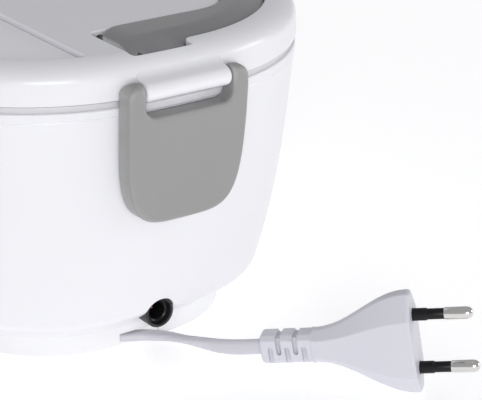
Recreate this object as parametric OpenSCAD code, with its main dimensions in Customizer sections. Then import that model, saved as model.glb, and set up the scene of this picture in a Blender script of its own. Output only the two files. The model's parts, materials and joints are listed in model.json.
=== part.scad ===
// Electric lunch box: a heated base, a lift-out food tray and a lift-off lid with two clip latches.
// Origin at the bottom centre of the box, +Z up, the long side along Y, the socket side facing -Y.
// Insets are measured inwards from the lid's outline, and all sizes are in millimetres.

/* [Outline] */
// Length of the box over the lid's edge
box_length = 236; // [220:1:260]
// Width of the box over the lid's edge
box_width = 158; // [150:1:176]
// Radius of the bulged short sides
end_radius = 300; // [260:5:400]
// Radius of the bulged long sides
side_radius = 600; // [500:10:900]
// Radius of the four corners
corner_radius = 66; // [60:1:70]

/* [Base] */
// Height of the foot ring below the box
foot_height = 7.5; // [6:0.1:9]
// Inset of the foot ring's outside
foot_inset = 26.8; // [25:0.1:28]
// Wall thickness of the foot ring
foot_wall = 2.6; // [2:0.1:3.2]
// Height where the cone of the underside turns into the side wall
knee_height = 16; // [15:0.1:17]
// Inset of the side wall at that height
knee_inset = 13.7; // [12.5:0.1:15]
// Height of the body's rim
rim_height = 93.3; // [88:0.1:100]
// Inset of the body's rim
rim_inset = 0.4; // [0.2:0.1:1]
// Share of the side wall's inset that comes from straight draft
draft_share = 0.58; // [0.4:0.02:0.8]
// Wall thickness of the outer body
body_wall = 2.4; // [2:0.1:2.8]
// Height of the joint between the outer body and the bottom cover
parting_height = 10.3; // [10:0.1:10.6]
// Thickness of the bottom cover's plate
cover_plate = 2; // [1.6:0.1:2.4]
// Width of the cord notch in the foot ring
notch_width = 15; // [13:0.5:18]

/* [Heating] */
// Thickness of the liner's flange, the band under the lid
flange_thickness = 2; // [1.6:0.1:2.4]
// Inset of the liner's flange
flange_inset = 1.3; // [1:0.1:1.8]
// Wall thickness of the chamber liner
liner_wall = 1.6; // [1.2:0.1:2]
// Top of the heating plate above the floor
plate_top = 26.8; // [25.5:0.1:28]
// Thickness of the heating plate
plate_thickness = 4.3; // [3.5:0.1:5]
// Thickness of the heating elements
heater_thickness = 2.2; // [1.8:0.1:2.6]

/* [Food tray] */
// Sheet thickness of the steel tray
tray_sheet = 0.8; // [0.6:0.1:1]
// Inset of the tray's rim
tray_rim_inset = 4; // [3.6:0.1:4.6]
// Inset of the tray's wall at the top
tray_top_inset = 11; // [10:0.1:12]
// Inset of the tray's wall at the floor
tray_floor_inset = 20; // [19:0.1:22]

/* [Lid] */
// Height of the lid from its lower edge to the flat top
lid_height = 12.4; // [11.6:0.1:13.4]
// Gap under the lid's lower edge
lid_gap = 0.3; // [0.2:0.05:0.5]
// Wall thickness of the lid
lid_wall = 2.4; // [2:0.1:2.8]
// Width of the rounded shoulder
shoulder_width = 9.5; // [8:0.1:10]
// Height of the rounded shoulder
shoulder_height = 6; // [5:0.1:7]
// Thickness of the silicone gasket
gasket_thickness = 1.9; // [1.6:0.1:2.2]

/* [Latches] */
// Width of a latch
latch_width = 44.2; // [40:0.2:48]
// Height of a latch below its hinge axis
latch_drop = 44; // [40:0.2:46]
// Distance of the latch's front face from the lid's outline
latch_stand_off = 6.4; // [6.2:0.1:7.4]
// Wall thickness of a latch
latch_wall = 1.8; // [1.4:0.1:2.2]
// Radius of the hinge barrel on the lid
barrel_radius = 3.1; // [2.9:0.1:3.2]
// Height of the hinge axis above the lid's lower edge
hinge_lift = 2.6; // [2.4:0.1:3]
// Length of the hinge barrel on the lid
barrel_length = 31; // [26:0.5:33]
// Radius of the hinge stubs on a latch
stub_radius = 1.6; // [1.4:0.1:1.8]

/* [Handle] */
// Distance of the handle's pivot from the centre line
pivot_offset = 9.5; // [8:0.1:11]
// Thickness of the handle
handle_thickness = 7.4; // [6.8:0.1:7.8]
// Height of the handle's top above the lid's flat top
handle_proud = 0.8; // [0.4:0.1:1.2]
// Inset of the handle's outer edge
handle_inset = 10.8; // [10:0.1:11]
// Inner edge of the handle's grip from the centre line
grip_inner = 45; // [40:0.5:50]
// Distance from the box's end to the inner edge of a handle arm
arm_inner = 31.4; // [29:0.1:33]
// Radius of the steel handle pins
handle_pin_radius = 1.5; // [1.2:0.1:1.8]

/* [Spoon compartment] */
// Distance of the compartment's straight edge from the centre line
spoon_edge = 26.5; // [25:0.1:28]
// Depth of the cover's face below the lid's flat top
cover_sink = 1.5; // [1.2:0.1:1.8]
// Thickness of the compartment's cover
spoon_cover_thickness = 1.4; // [1.2:0.1:1.6]

/* [Power] */
// Width of the flat cord
cord_width = 5; // [4.6:0.1:5.4]
// Thickness of the flat cord
cord_thickness = 3; // [2.8:0.1:3.2]
// Height of the socket's axis above the floor
socket_height = 13.9; // [13.4:0.1:14.4]
// Radius of the socket's rubber bushing
bushing_radius = 5.3; // [5:0.1:5.6]
// Length of the plug without its pins
plug_length = 50; // [46:1:54]
// Width of the plug at its pins
plug_width = 34.6; // [33:0.1:35.3]
// Thickness of the plug
plug_thickness = 13.6; // [12:0.1:14]
// Distance between the plug's pins
pin_spacing = 18.6; // [18.4:0.1:18.8]
// Length of the plug's pins
pin_length = 19; // [18.5:0.1:19.5]
// Radius of the plug's pins
pin_radius = 2; // [1.97:0.01:2.03]

/* [Hidden] */
$fn = 48;
// Running clearance of a pin in its bore
running_gap = 0.05;
// Clearance between pieces that lie side by side
side_gap = 0.3;
// Length by which a cutter passes the face that it cuts
pass = 1;
// A length beyond the whole box
far = 400;

// ---- Outline: bulged ends and sides joined by corner arcs, all tangent ----
half_l = box_length / 2;
half_w = box_width / 2;
end_c = [0, end_radius - half_l];
side_c = [half_w - side_radius, 0];
c_span = norm(end_c - side_c);
end_reach = end_radius - corner_radius;
side_reach = side_radius - corner_radius;
c_along = (pow(end_reach, 2) - pow(side_reach, 2) + pow(c_span, 2)) / (2 * c_span);
c_across = sqrt(pow(end_reach, 2) - pow(c_along, 2));
c_unit = (side_c - end_c) / c_span;
corner_c = end_c + c_along * c_unit + c_across * [-c_unit[1], c_unit[0]];
end_angle = atan2(corner_c[1] - end_c[1], corner_c[0]);
side_angle = atan2(corner_c[1], corner_c[0] - side_c[0]);
corner_steps = 12;
side_steps = 2;

function arc(centre, r, a0, a1, steps) =
    [for (i = [0 : steps - 1]) let (a = a0 + (a1 - a0) * i / steps) centre + r * [cos(a), sin(a)]];
function quarter(inset) = concat(
    arc(end_c, end_radius - inset, -90, end_angle, 1),
    arc(corner_c, corner_radius - inset, end_angle, side_angle, corner_steps),
    arc(side_c, side_radius - inset, side_angle, 0, side_steps));
function half_outline(inset) = let (q = quarter(inset), n = len(q)) concat(
    q, [[half_w - inset, 0]], [for (i = [n - 1 : -1 : 1]) [q[i][0], -q[i][1]]]);
function outline(inset) = let (h = half_outline(inset)) concat(h, -h);
// Distance of the outline from the centre line of the box's end, at a place x across it
function end_y(inset, x = 0) = -end_c[1] + sqrt(pow(end_radius - inset, 2) - x * x);
function level_points(levels) = [for (l = levels) for (p = outline(l[0])) [p[0], p[1], l[1]]];

// Solid through outline levels [inset, height], closed by a flat face at both ends
module loft(levels) {
    n = len(outline(0));
    m = len(levels);
    polyhedron(level_points(levels), concat(
        [[for (i = [0 : n - 1]) i]],
        [for (k = [0 : m - 2]) for (i = [0 : n - 1])
            [k * n + i, (k + 1) * n + i, (k + 1) * n + (i + 1) % n, k * n + (i + 1) % n]],
        [[for (i = [n - 1 : -1 : 0]) (m - 1) * n + i]]));
}

// Ring whose section is the closed list of corners [inset, height]
module hoop(section) {
    n = len(outline(0));
    m = len(section);
    polyhedron(level_points(section),
        [for (k = [0 : m - 1]) for (i = [0 : n - 1])
            [k * n + i, ((k + 1) % m) * n + i, ((k + 1) % m) * n + (i + 1) % n, k * n + (i + 1) % n]]);
}

// Flat ring between two insets
module band(outer, inner, z0, z1) {
    hoop([[outer, z0], [outer, z1], [inner, z1], [inner, z0]]);
}

// Plate with the box's outline
module slab(inset, z0, z1) {
    translate([0, 0, z0]) linear_extrude(z1 - z0) polygon(outline(inset));
}

// Box from one corner to the other
module block(from, to) {
    translate(from) cube(to - from);
}

// Cylinder along +X or +Y from its start point
module rod_x(start, r, length) {
    translate(start) rotate([0, 90, 0]) cylinder(r = r, h = length);
}
module rod_y(start, r, length) {
    translate(start) rotate([-90, 0, 0]) cylinder(r = r, h = length);
}

// Extrusion along X of a section drawn as [y, z]
module along_x(length) {
    translate([-length / 2, 0, 0]) rotate([90, 0, 90]) linear_extrude(length) children();
}

// Both ends of the box: the front as drawn, the rear turned half round
module both_ends() {
    children();
    rotate(180) children();
}

// ---- Tubes swept along a route ----
function unit(v) = v / norm(v);
function heading(route, i) = unit(route[min(i + 1, len(route) - 1)] - route[max(i - 1, 0)]);
function tube_ring(route, i, section) =
    let (t = heading(route, i), s = unit(cross(t, [0, 0, 1])), u = cross(s, t))
    [for (q = section) route[i] + q[0] * s + q[1] * u];
module tube(route, section) {
    n = len(section);
    m = len(route);
    polyhedron([for (i = [0 : m - 1]) each tube_ring(route, i, section)], concat(
        [[for (i = [n - 1 : -1 : 0]) i]],
        [for (k = [0 : m - 2]) for (i = [0 : n - 1])
            [k * n + i, k * n + (i + 1) % n, (k + 1) * n + (i + 1) % n, (k + 1) * n + i]],
        [[for (i = [0 : n - 1]) (m - 1) * n + i]]));
}

// ---- Base ----
knee_run = rim_height - knee_height;
function wall_inset(z) = let (h = (rim_height - z) / knee_run)
    rim_inset + (knee_inset - rim_inset) * (draft_share * h + (1 - draft_share) * pow(h, 3));
function cone_inset(z) =
    knee_inset + (foot_inset - knee_inset) * (knee_height - z) / (knee_height - foot_height);
wall_steps = 7;
wall_heights = [for (i = [0 : wall_steps]) knee_height + knee_run * i / wall_steps];
body_floor = 2;
floor_top = parting_height + body_floor;
floor_inset = 58;
ceiling = parting_height - cover_plate;
foot_inner = foot_inset + foot_wall;
cover_step = 0.5;
notch_flare = 5;
screw_spots = [[28, 38], [28, -38], [-28, 38], [-28, -38], [0, 66], [0, -66]];
screw_radius = 1.5;
screw_head = 3;
screw_head_height = 1.9;
screw_boss = 3.4;
screw_boss_top = floor_top + 1.6;

// Clip latch and the places on the body and the lid that serve it
lid_bottom = rim_height + flange_thickness + lid_gap;
lid_top = lid_bottom + lid_height;
axis_z = lid_bottom + hinge_lift;
ear_radius = barrel_radius + 0.2;
ear_front = 3.6;
ear_round = 2.6;
ear_swing = norm([ear_front - ear_round, ear_radius - ear_round]) + ear_round;
axis_out = latch_stand_off - ear_front;
shelf_top = rim_height - 2.9;
hook_width = barrel_length - 1;
hook_top = shelf_top - 0.4;
hook_bottom = hook_top - 1.7;
hook_tip = 1.8;
catch_gap = 0.3;
catch_drop = 1.4;

// Power socket
socket_face = 14.2;
bushing_length = 9.8;
jack_radius = bushing_radius - 1.05;
jack_recess = 1.5;
jack_length = 13;
jack_bore = 2.85;
jack_bore_depth = 9;
jack_pin_radius = 1.05;

// Cord store under the bottom cover: two lanes round the hub
cord_lane = cord_width + 0.3;
winding_inset = foot_inner + 2.2;
winding_middle = winding_inset + cord_lane;
winding_inner = winding_middle + cord_lane;
winding_top = ceiling - 0.4;
winding_bottom = winding_top - cord_thickness - 0.3;
hub_inset = winding_inner + 0.8;
hub_wall = 2;
tab_top = winding_bottom - side_gap;
tab_thickness = 1.3;
tab_inset = winding_middle - 2;
tab_width = 12;
lead_out_x = -22;
lane_back_x = 20;
gland_size = [cord_lane, 12];
gland_lip = 1.2;
gland_y = -26;
gland_x = half_w - winding_middle - cord_lane / 2 - 0.55;
gland_top = floor_top + 3;

module socket_cut(clearance) {
    rod_y([0, -half_l + socket_face - 6, socket_height], bushing_radius + clearance, bushing_length + 6.3);
    rod_y([0, -half_l + socket_face, socket_height], jack_radius + clearance, jack_length + jack_recess + 3);
}

module gland_window(margin, z0, z1) {
    block([gland_x - gland_size[0] / 2 - margin, gland_y - gland_size[1] / 2 - margin, z0],
        [gland_x + gland_size[0] / 2 + margin, gland_y + gland_size[1] / 2 + margin, z1]);
}

// Pocket in the front of the body that takes a latch's hook
module catch_pocket() {
    block([-hook_width / 2 - catch_gap, -far, hook_bottom - catch_drop],
        [hook_width / 2 + catch_gap, -half_l + hook_tip + catch_gap, hook_top + catch_gap]);
}

module outer_body() {
    inner_knee = knee_height + 1.2;
    color("white") difference() {
        union() {
            hoop(concat(
                [[cone_inset(parting_height), parting_height]],
                [for (z = wall_heights) [wall_inset(z), z]],
                [[rim_inset + body_wall, rim_height]],
                [for (i = [wall_steps - 1 : -1 : 1]) [wall_inset(wall_heights[i]) + body_wall, wall_heights[i]]],
                [[knee_inset + body_wall, inner_knee], [cone_inset(floor_top) + body_wall, floor_top],
                    [floor_inset, floor_top], [floor_inset, parting_height]]));
            for (p = screw_spots) translate([p[0], p[1], parting_height])
                cylinder(r = screw_boss, h = screw_boss_top - parting_height);
        }
        for (p = screw_spots) translate([p[0], p[1], parting_height - pass])
            cylinder(r = screw_radius + running_gap, h = screw_boss_top);
        both_ends() catch_pocket();
        socket_cut(running_gap);
        gland_window(2, parting_height - pass, floor_top + pass);
    }
}

module bottom_cover() {
    color("white") difference() {
        union() {
            loft([[foot_inner, ceiling], [foot_inner, 0], [foot_inset, 0], [foot_inset, foot_height],
                [cone_inset(parting_height) + cover_step, parting_height]]);
            band(hub_inset, hub_inset + hub_wall, tab_top - tab_thickness, ceiling + cover_plate / 2);
            intersection() {
                band(tab_inset, hub_inset + hub_wall / 2, tab_top - tab_thickness, tab_top);
                union() {
                    for (y = [-30, 30])
                        block([-far, y - tab_width / 2, 0], [-hub_wall, y + tab_width / 2, ceiling]);
                    block([hub_wall, 30 - tab_width / 2, 0], [far, 30 + tab_width / 2, ceiling]);
                    block([-tab_width / 2, 0, 0], [tab_width / 2, far, ceiling]);
                }
            }
        }
        for (p = screw_spots) translate([p[0], p[1], ceiling - pass])
            cylinder(r = screw_radius + running_gap, h = cover_plate + 2 * pass);
        socket_cut(running_gap);
        gland_window(0.1, 0, parting_height + pass);
        notch();
    }
}

// Notch that lets the cord out through the front of the foot ring, wider inside
module notch() {
    half = notch_width / 2;
    front = -end_y(foot_inset) - pass;
    back = -end_y(foot_inner, half) + pass;
    translate([0, 0, -pass]) linear_extrude(ceiling + pass) polygon([
        [-half, front], [half, front], [half, front + pass + 0.8],
        [half + notch_flare, back], [-half - notch_flare, back], [-half, front + pass + 0.8]]);
}

module cover_screws() {
    color("silver") for (p = screw_spots) translate([p[0], p[1], ceiling]) {
        cylinder(r = screw_radius, h = screw_boss_top - ceiling - 0.5);
        translate([0, 0, -screw_head_height]) difference() {
            cylinder(r = screw_head, h = screw_head_height);
            for (a = [0, 90]) rotate(a) translate([-screw_head * 0.6, -0.4, -pass])
                cube([screw_head * 1.2, 0.8, pass + 0.9]);
        }
    }
}

// ---- Heating ----
liner_top_inset = 8;
liner_floor_inset = 18.5;
plate_flange = 1.2;
plate_flange_inset = 34;
plate_inset = 38.4;
liner_floor_top = plate_top - plate_flange;
plate_bottom = plate_top - plate_thickness;
heater_x = half_w - plate_inset - 10.6;
mains_y = [-54, 22];
car_y = [28, 56];
pad_thickness = 2;
clamp_thickness = 1.2;
pad_top = plate_bottom - heater_thickness;
clamp_top = pad_top - pad_thickness;
clamp_bottom = clamp_top - clamp_thickness;
clamp_x = heater_x + 5;
clamp_screw_spots = [[clamp_x, -48], [-clamp_x, -48], [clamp_x, 52], [-clamp_x, 52]];
clamp_boss = 3.4;
thermostat_y = 69;
thermostat_radius = 8;
fuse_y = -66;
fuse_radius = 2;
fuse_length = 11;

module chamber_liner() {
    opening = plate_inset - side_gap;
    color("gainsboro") hoop([
        [flange_inset, rim_height], [flange_inset, rim_height + flange_thickness],
        [liner_top_inset, rim_height + flange_thickness],
        [liner_floor_inset - 2, liner_floor_top + 4], [liner_floor_inset + 1.5, liner_floor_top],
        [opening, liner_floor_top], [opening, liner_floor_top - liner_wall],
        [liner_floor_inset + 1, liner_floor_top - liner_wall],
        [liner_floor_inset - 2 - liner_wall, liner_floor_top + 3.6],
        [liner_top_inset - liner_wall, rim_height]]);
}

module heating_plate() {
    color("silver") difference() {
        union() {
            slab(plate_flange_inset, liner_floor_top, plate_top);
            slab(plate_inset, plate_bottom, liner_floor_top);
            for (p = clamp_screw_spots) translate([p[0], p[1], clamp_top])
                cylinder(r = clamp_boss, h = plate_bottom - clamp_top + plate_thickness / 2);
        }
        for (p = clamp_screw_spots) translate([p[0], p[1], clamp_top - pass])
            cylinder(r = screw_radius + running_gap, h = plate_bottom - clamp_top + pass + 2);
    }
}

tag_offset = 14;
tag_width = 5;
tag_sheet = 0.8;
tag_end = heater_x + 4;
tag_z = pad_top + 1;

// Flat element with two terminal tags
module heater(y) {
    block([-heater_x, y[0], pad_top], [heater_x, y[1], plate_bottom]);
    for (s = [-1, 1]) block([s > 0 ? heater_x : -tag_end, y[0] + tag_offset, tag_z - tag_sheet / 2],
        [s > 0 ? tag_end : -heater_x, y[0] + tag_offset + tag_width, tag_z + tag_sheet / 2]);
}
module mains_heater() { color("khaki") heater(mains_y); }
module car_heater() { color("khaki") heater(car_y); }

module insulation_pad() {
    color("ivory") block([-heater_x - 1, mains_y[0] - 1, clamp_top], [heater_x + 1, car_y[1] + 1, pad_top]);
}

module heater_clamp() {
    rib = 2.4;
    color("silver") difference() {
        union() {
            block([-heater_x, mains_y[0], clamp_bottom], [heater_x, car_y[1], clamp_top]);
            for (p = clamp_screw_spots) block(
                [min(p[0], 0) - (p[0] < 0 ? 4 : 0), p[1] - 4, clamp_bottom],
                [max(p[0], 0) + (p[0] > 0 ? 4 : 0), p[1] + 4, clamp_top]);
            for (x = [-heater_x / 2, 0, heater_x / 2]) along_y_rib(x, rib);
        }
        for (p = clamp_screw_spots) translate([p[0], p[1], clamp_bottom - pass])
            cylinder(r = screw_radius + 0.2, h = clamp_thickness + 2 * pass);
    }
}

// Stiffening bead pressed into the clamp
module along_y_rib(x, width) {
    translate([x - width / 2, mains_y[0] + 8, clamp_bottom - 0.8])
        cube([width, car_y[1] - mains_y[0] - 16, 0.8 + clamp_thickness / 2]);
}

module clamp_screws() {
    color("dimgray") for (p = clamp_screw_spots) translate([p[0], p[1], clamp_bottom]) {
        cylinder(r = screw_radius, h = plate_bottom - clamp_bottom + 1);
        translate([0, 0, -screw_head_height]) cylinder(r = screw_head, h = screw_head_height);
    }
}

module thermostat() {
    color("tan") translate([0, thermostat_y, plate_bottom]) mirror([0, 0, 1]) {
        cylinder(r = thermostat_radius, h = 3);
        translate([0, 0, 3]) cylinder(r = thermostat_radius - 1, h = 4);
        for (s = [-1, 1]) translate([s * 5.5 - 1.5, -2.5, 7]) cube([3, 5, 1.2]);
    }
}

module thermal_fuse() {
    z = plate_bottom - fuse_radius;
    color("beige") {
        rod_x([-fuse_length / 2, fuse_y, z], fuse_radius, fuse_length);
        rod_x([-fuse_length / 2 - 6, fuse_y, z], 0.5, fuse_length + 12);
    }
}

// Lead wires inside the base, clear of the bosses, with the crossings on the lower level
wire_radius = 0.9;
wire_z = floor_top + 2.9;
low_z = floor_top + 1.05;
gland_side = gland_x - gland_size[0] / 2 - gland_lip;
gland_wire_z = gland_top - 1.1;
fuse_z = plate_bottom - fuse_radius;
fuse_end = fuse_length / 2 + 6;
jack_back = -half_l + socket_face + jack_recess + jack_length;
thermostat_tag = 7;
mains_tag_y = mains_y[0] + tag_offset + tag_width / 2;
car_tag_y = car_y[0] + tag_offset + tag_width / 2;
wire_routes = [
    [[gland_side, -28, gland_wire_z], [32, -28, gland_wire_z], [27, -32, wire_z], [25, -44, wire_z],
        [20, -58, wire_z + 1], [15, fuse_y, fuse_z], [fuse_end, fuse_y, fuse_z]],
    [[-fuse_end, fuse_y, fuse_z], [-15, fuse_y, fuse_z], [-17, -58, wire_z + 1], [-21, -44, wire_z],
        [-21, 40, wire_z], [-14, 62, wire_z], [-10, thermostat_y, wire_z], [-thermostat_tag, thermostat_y, wire_z]],
    [[thermostat_tag, thermostat_y, wire_z], [10, thermostat_y, wire_z], [18, 58, wire_z], [26, 46, wire_z],
        [25, 8, wire_z], [28, -8, wire_z], [33.5, -18, 16.8], [37, -26, 19], [39, -34, tag_z - 0.5],
        [38, mains_tag_y, tag_z], [tag_end, mains_tag_y, tag_z]],
    [[gland_side, -24, gland_wire_z], [32, -24, gland_wire_z], [29, -24.4, low_z], [-30, -30, low_z],
        [-33.4, -30.4, 14.6], [-37, -31, 17], [-39.4, -34, tag_z - 0.6], [-38, mains_tag_y, tag_z], [-tag_end, mains_tag_y, tag_z]],
    [[-2.4, jack_back, wire_z], [-2.4, -86, wire_z], [-16, -80, wire_z], [-25, -66, wire_z], [-27, -50, wire_z],
        [-27, 22, wire_z], [-33, 30, 17], [-38, 37, 20], [-39, 41, tag_z - 0.3], [-38, car_tag_y, tag_z],
        [-tag_end, car_tag_y, tag_z]],
    [[1.6, jack_back, wire_z], [1.6, -83, wire_z], [-13, -76, wire_z], [-21.5, -64, wire_z], [-24, -50, wire_z],
        [-24, 14, wire_z], [-22, 24, low_z], [29.4, 32, low_z], [32.8, 32.2, 14.6], [36.4, 33, 17.5],
        [39.4, 39, tag_z - 0.6], [38, car_tag_y, tag_z], [tag_end, car_tag_y, tag_z]],
];
module wiring() {
    section = [for (a = [0 : 60 : 300]) wire_radius * [cos(a), sin(a)]];
    color("firebrick") for (r = wire_routes) tube(r, section);
}

// ---- Power inlet, cord and plug ----
module socket_bushing() {
    color("#1c1c1e") difference() {
        rod_y([0, -half_l + socket_face, socket_height], bushing_radius, bushing_length);
        rod_y([0, -half_l + socket_face - pass, socket_height], jack_radius, bushing_length + 2 * pass);
    }
}

module dc_socket() {
    front = -half_l + socket_face + jack_recess;
    color("#26262a") difference() {
        rod_y([0, front, socket_height], jack_radius, jack_length);
        rod_y([0, front - pass, socket_height], jack_bore, jack_bore_depth + pass);
    }
}

module socket_pin() {
    front = -half_l + socket_face + jack_recess;
    color("peru") rod_y([0, front + 0.8, socket_height], jack_pin_radius, jack_bore_depth - 0.8);
}

module cord_gland() {
    color("whitesmoke") {
        gland_window(0, winding_bottom, parting_height + 0.2);
        gland_window(gland_lip, parting_height, gland_top);
    }
}

module cord_winding() {
    lane_cut = winding_top + pass;
    color("gainsboro") difference() {
        slab(winding_inset, winding_bottom, winding_top);
        slab(winding_inner, winding_bottom - pass, lane_cut);
        difference() {
            block([lead_out_x, -far, 0], [lane_back_x, 0, lane_cut]);
            slab(winding_middle, -pass, lane_cut + pass);
        }
        block([gland_x - gland_size[0] / 2 - 0.1, gland_y - gland_size[1] / 2 - 0.5, 0],
            [gland_x + far, gland_y + gland_size[1] / 2, lane_cut]);
    }
}

// Places chosen along the lead from the store through the notch to the plug
plug_face = [50.5, -173.7, 18.4];
plug_turn = [3, -8.7, -48.9];
cord_route = [
    [-22, -82.8, 6.2], [-19, -82.8, 6.2], [-14.4, -83.7, 4.8], [-9.4, -85.8, 2.9], [-4.5, -88.6, 1.8],
    [0.3, -91, 1.8],
    [4.3, -94, 1.8], [7.6, -98.2, 2.1], [9.6, -104.4, 2.9], [10.8, -111.4, 4.2], [12, -119.6, 6],
    [13.2, -126.6, 8], [15.2, -132.4, 9.8], [17.8, -136.2, 10.8]];
module power_cord() {
    w = cord_width / 2;
    t = cord_thickness / 2;
    section = [[w, -t / 2], [w, t / 2], [w - 1, t], [1 - w, t], [-w, t / 2], [-w, -t / 2], [1 - w, -t], [w - 1, -t]];
    color("gainsboro") tube(cord_route, section);
}

// The plug lies along +X with its face at x = 0 and its pins side by side in the XZ plane
module at_plug() {
    translate(plug_face) rotate(plug_turn) children();
}
relief_length = 17;
relief_half = [4, 4.9];
neck_half = [4.4, 5.6];
plug_sides = 20;
plug_steps = 8;
function flare(t) = (1 - cos(180 * t)) / 2;
function plug_ring(x, half) = [for (i = [0 : plug_sides - 1]) let (a = 360 * i / plug_sides, c = cos(a), s = sin(a))
    [x, half[0] * sign(c) * pow(abs(c), 0.6), half[1] * sign(s) * pow(abs(s), 0.6)]];
module plug_body() {
    body = plug_length - relief_length;
    plug_half = [plug_thickness / 2, plug_width / 2];
    rings = concat(
        [plug_ring(-plug_length, relief_half - [0.8, 0.8]), plug_ring(-plug_length + 1, relief_half),
            plug_ring(-body, relief_half)],
        [for (i = [0 : plug_steps]) let (t = i / plug_steps)
            plug_ring(-body + 0.4 + (body - 2) * t, neck_half + (plug_half - neck_half) * flare(t))],
        [plug_ring(0, plug_half - [0.5, 0.9])]);
    n = plug_sides;
    m = len(rings);
    slot = 1.3;
    color("whitesmoke") at_plug() difference() {
        polyhedron([for (r = rings) each r], concat(
            [[for (i = [n - 1 : -1 : 0]) i]],
            [for (k = [0 : m - 2]) for (i = [0 : n - 1])
                [k * n + i, k * n + (i + 1) % n, (k + 1) * n + (i + 1) % n, (k + 1) * n + i]],
            [[for (i = [0 : n - 1]) (m - 1) * n + i]]));
        for (k = [0 : 4], side = [-1, 1]) {
            upper = k % 2 == 1;
            translate([-plug_length + 3.2 + k * 2.7, side * relief_half[0] - (side > 0 ? slot : 0), upper ? -1 : -4.4])
                cube([slot, slot, upper ? 6 : 4]);
        }
        for (s = [-1, 1]) rod_x([-6, 0, s * pin_spacing / 2], pin_radius + 0.1, 6 + pass);
    }
}

sleeve_length = 10;
pin_core = 1.4;
module pin_sleeves() {
    color("#202022") at_plug() for (s = [-1, 1]) difference() {
        union() {
            rod_x([-5.9, 0, s * pin_spacing / 2], pin_radius, 5.9 + sleeve_length * 0.45);
            rod_x([0, 0, s * pin_spacing / 2], pin_radius - 0.25, sleeve_length);
        }
        rod_x([-5.9 - pass, 0, s * pin_spacing / 2], pin_core + 0.02, 6 + sleeve_length + 2 * pass);
    }
}

module plug_pins() {
    tip = pin_length - pin_radius;
    color("silver") at_plug() for (s = [-1, 1]) translate([0, 0, s * pin_spacing / 2]) {
        rod_x([-5.9, 0, 0], pin_core, 6 + sleeve_length);
        rod_x([sleeve_length, 0, 0], pin_radius, tip - sleeve_length);
        translate([tip, 0, 0]) rotate([0, 90, 0]) rotate_extrude() intersection() {
            circle(r = pin_radius);
            square(pin_radius + 1);
        }
    }
}

// ---- Food tray ----
tray_seat = rim_height + flange_thickness;
tray_floor = plate_top + side_gap;
module food_tray() {
    s = tray_sheet;
    color("lightsteelblue") loft([
        [tray_floor_inset + 4, tray_floor], [tray_floor_inset + 1, tray_floor + 1],
        [tray_floor_inset, tray_floor + 4], [tray_top_inset, tray_seat - 0.8],
        [tray_top_inset - 0.8, tray_seat], [tray_rim_inset, tray_seat],
        [tray_rim_inset, tray_seat + s], [tray_top_inset, tray_seat + s],
        [tray_top_inset + s, tray_seat - 0.4], [tray_floor_inset + s, tray_floor + 4 + s / 2],
        [tray_floor_inset + 1 + s, tray_floor + 1 + s], [tray_floor_inset + 4 + s / 2, tray_floor + s]]);
}

// ---- Lid ----
shoulder_z = lid_top - shoulder_height;
shoulder_steps = 5;
shoulder = [for (i = [0 : shoulder_steps]) let (a = 90 * i / shoulder_steps)
    [0.2 + (shoulder_width - 0.2) * (1 - cos(a)), shoulder_z + shoulder_height * sin(a)]];
pan_wall = 1.5;
gasket_bottom = tray_seat + tray_sheet + side_gap;
gasket_top = gasket_bottom + gasket_thickness;
liner_rim = 0.9;
liner_rim_top = gasket_top + liner_rim;
dish_inset = 14.5;
dish_bottom = tray_seat - 2;
dish_wall = 1.2;
dish_top = dish_bottom + dish_wall;

// Handle recess and hinge
handle_top = lid_top + handle_proud;
handle_bottom = handle_top - handle_thickness;
hub_radius = handle_thickness / 2;
pivot_z = handle_top - hub_radius;
recess_floor = handle_bottom - 0.4;
hub_outer_inset = 5.8;
hub_block_x = 7.6;
hub_round = 10;
recess_round = 2.5;
bow_left = pivot_offset + hub_radius - hub_round;
nose_x = 3;
window_radius = 14;
handle_gap = 0.4;

// Spoon compartment
cover_top = lid_top - cover_sink;
cover_ledge = cover_top - spoon_cover_thickness;
well_margin = 4;
well_inset = 18;
well_floor = dish_top + side_gap + pan_wall;
strip_inset = 9.8;

// Steam vent
vent_spot = [10, 45];
vent_radius = 4.2;
vent_flange = 7;

// Plan of the U-shaped handle, grown by g
module handle_plan(g) {
    difference() {
        intersection() {
            polygon(outline(handle_inset - g));
            translate([-bow_left, -far / 2]) square(far);
        }
        window_plan(grip_inner - g, half_l - arm_inner - g);
    }
}
module window_plan(x, y) {
    r = window_radius;
    translate([-far, -y]) square([far + x - r, 2 * y]);
    translate([-far, -y + r]) square([far + x, 2 * (y - r)]);
    for (s = [-1, 1]) translate([x - r, s * (y - r)]) circle(r);
}
// Plan of the two hinge blocks at the ends of the handle's arms, grown by g, with the corner radius r
module hub_plan(g, r) {
    left = -pivot_offset - hub_radius - g;
    inner = half_l - arm_inner - g;
    width = hub_block_x + g - left;
    for (s = [-1, 1]) intersection() {
        polygon(outline(hub_outer_inset - g));
        union() {
            translate([left + r, s > 0 ? inner : -far]) square([width - r, far - inner]);
            translate([left, s > 0 ? inner + r : -far]) square([width, far - inner - r]);
            translate([left + r, s * (inner + r)]) circle(r);
        }
    }
}
module strip_plan(inset, edge) {
    intersection() {
        polygon(outline(inset));
        translate([-far - edge, -far / 2]) square(far);
    }
}
module well_plan(g) {
    strip_plan(well_inset - g, spoon_edge + well_margin - g);
}

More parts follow.
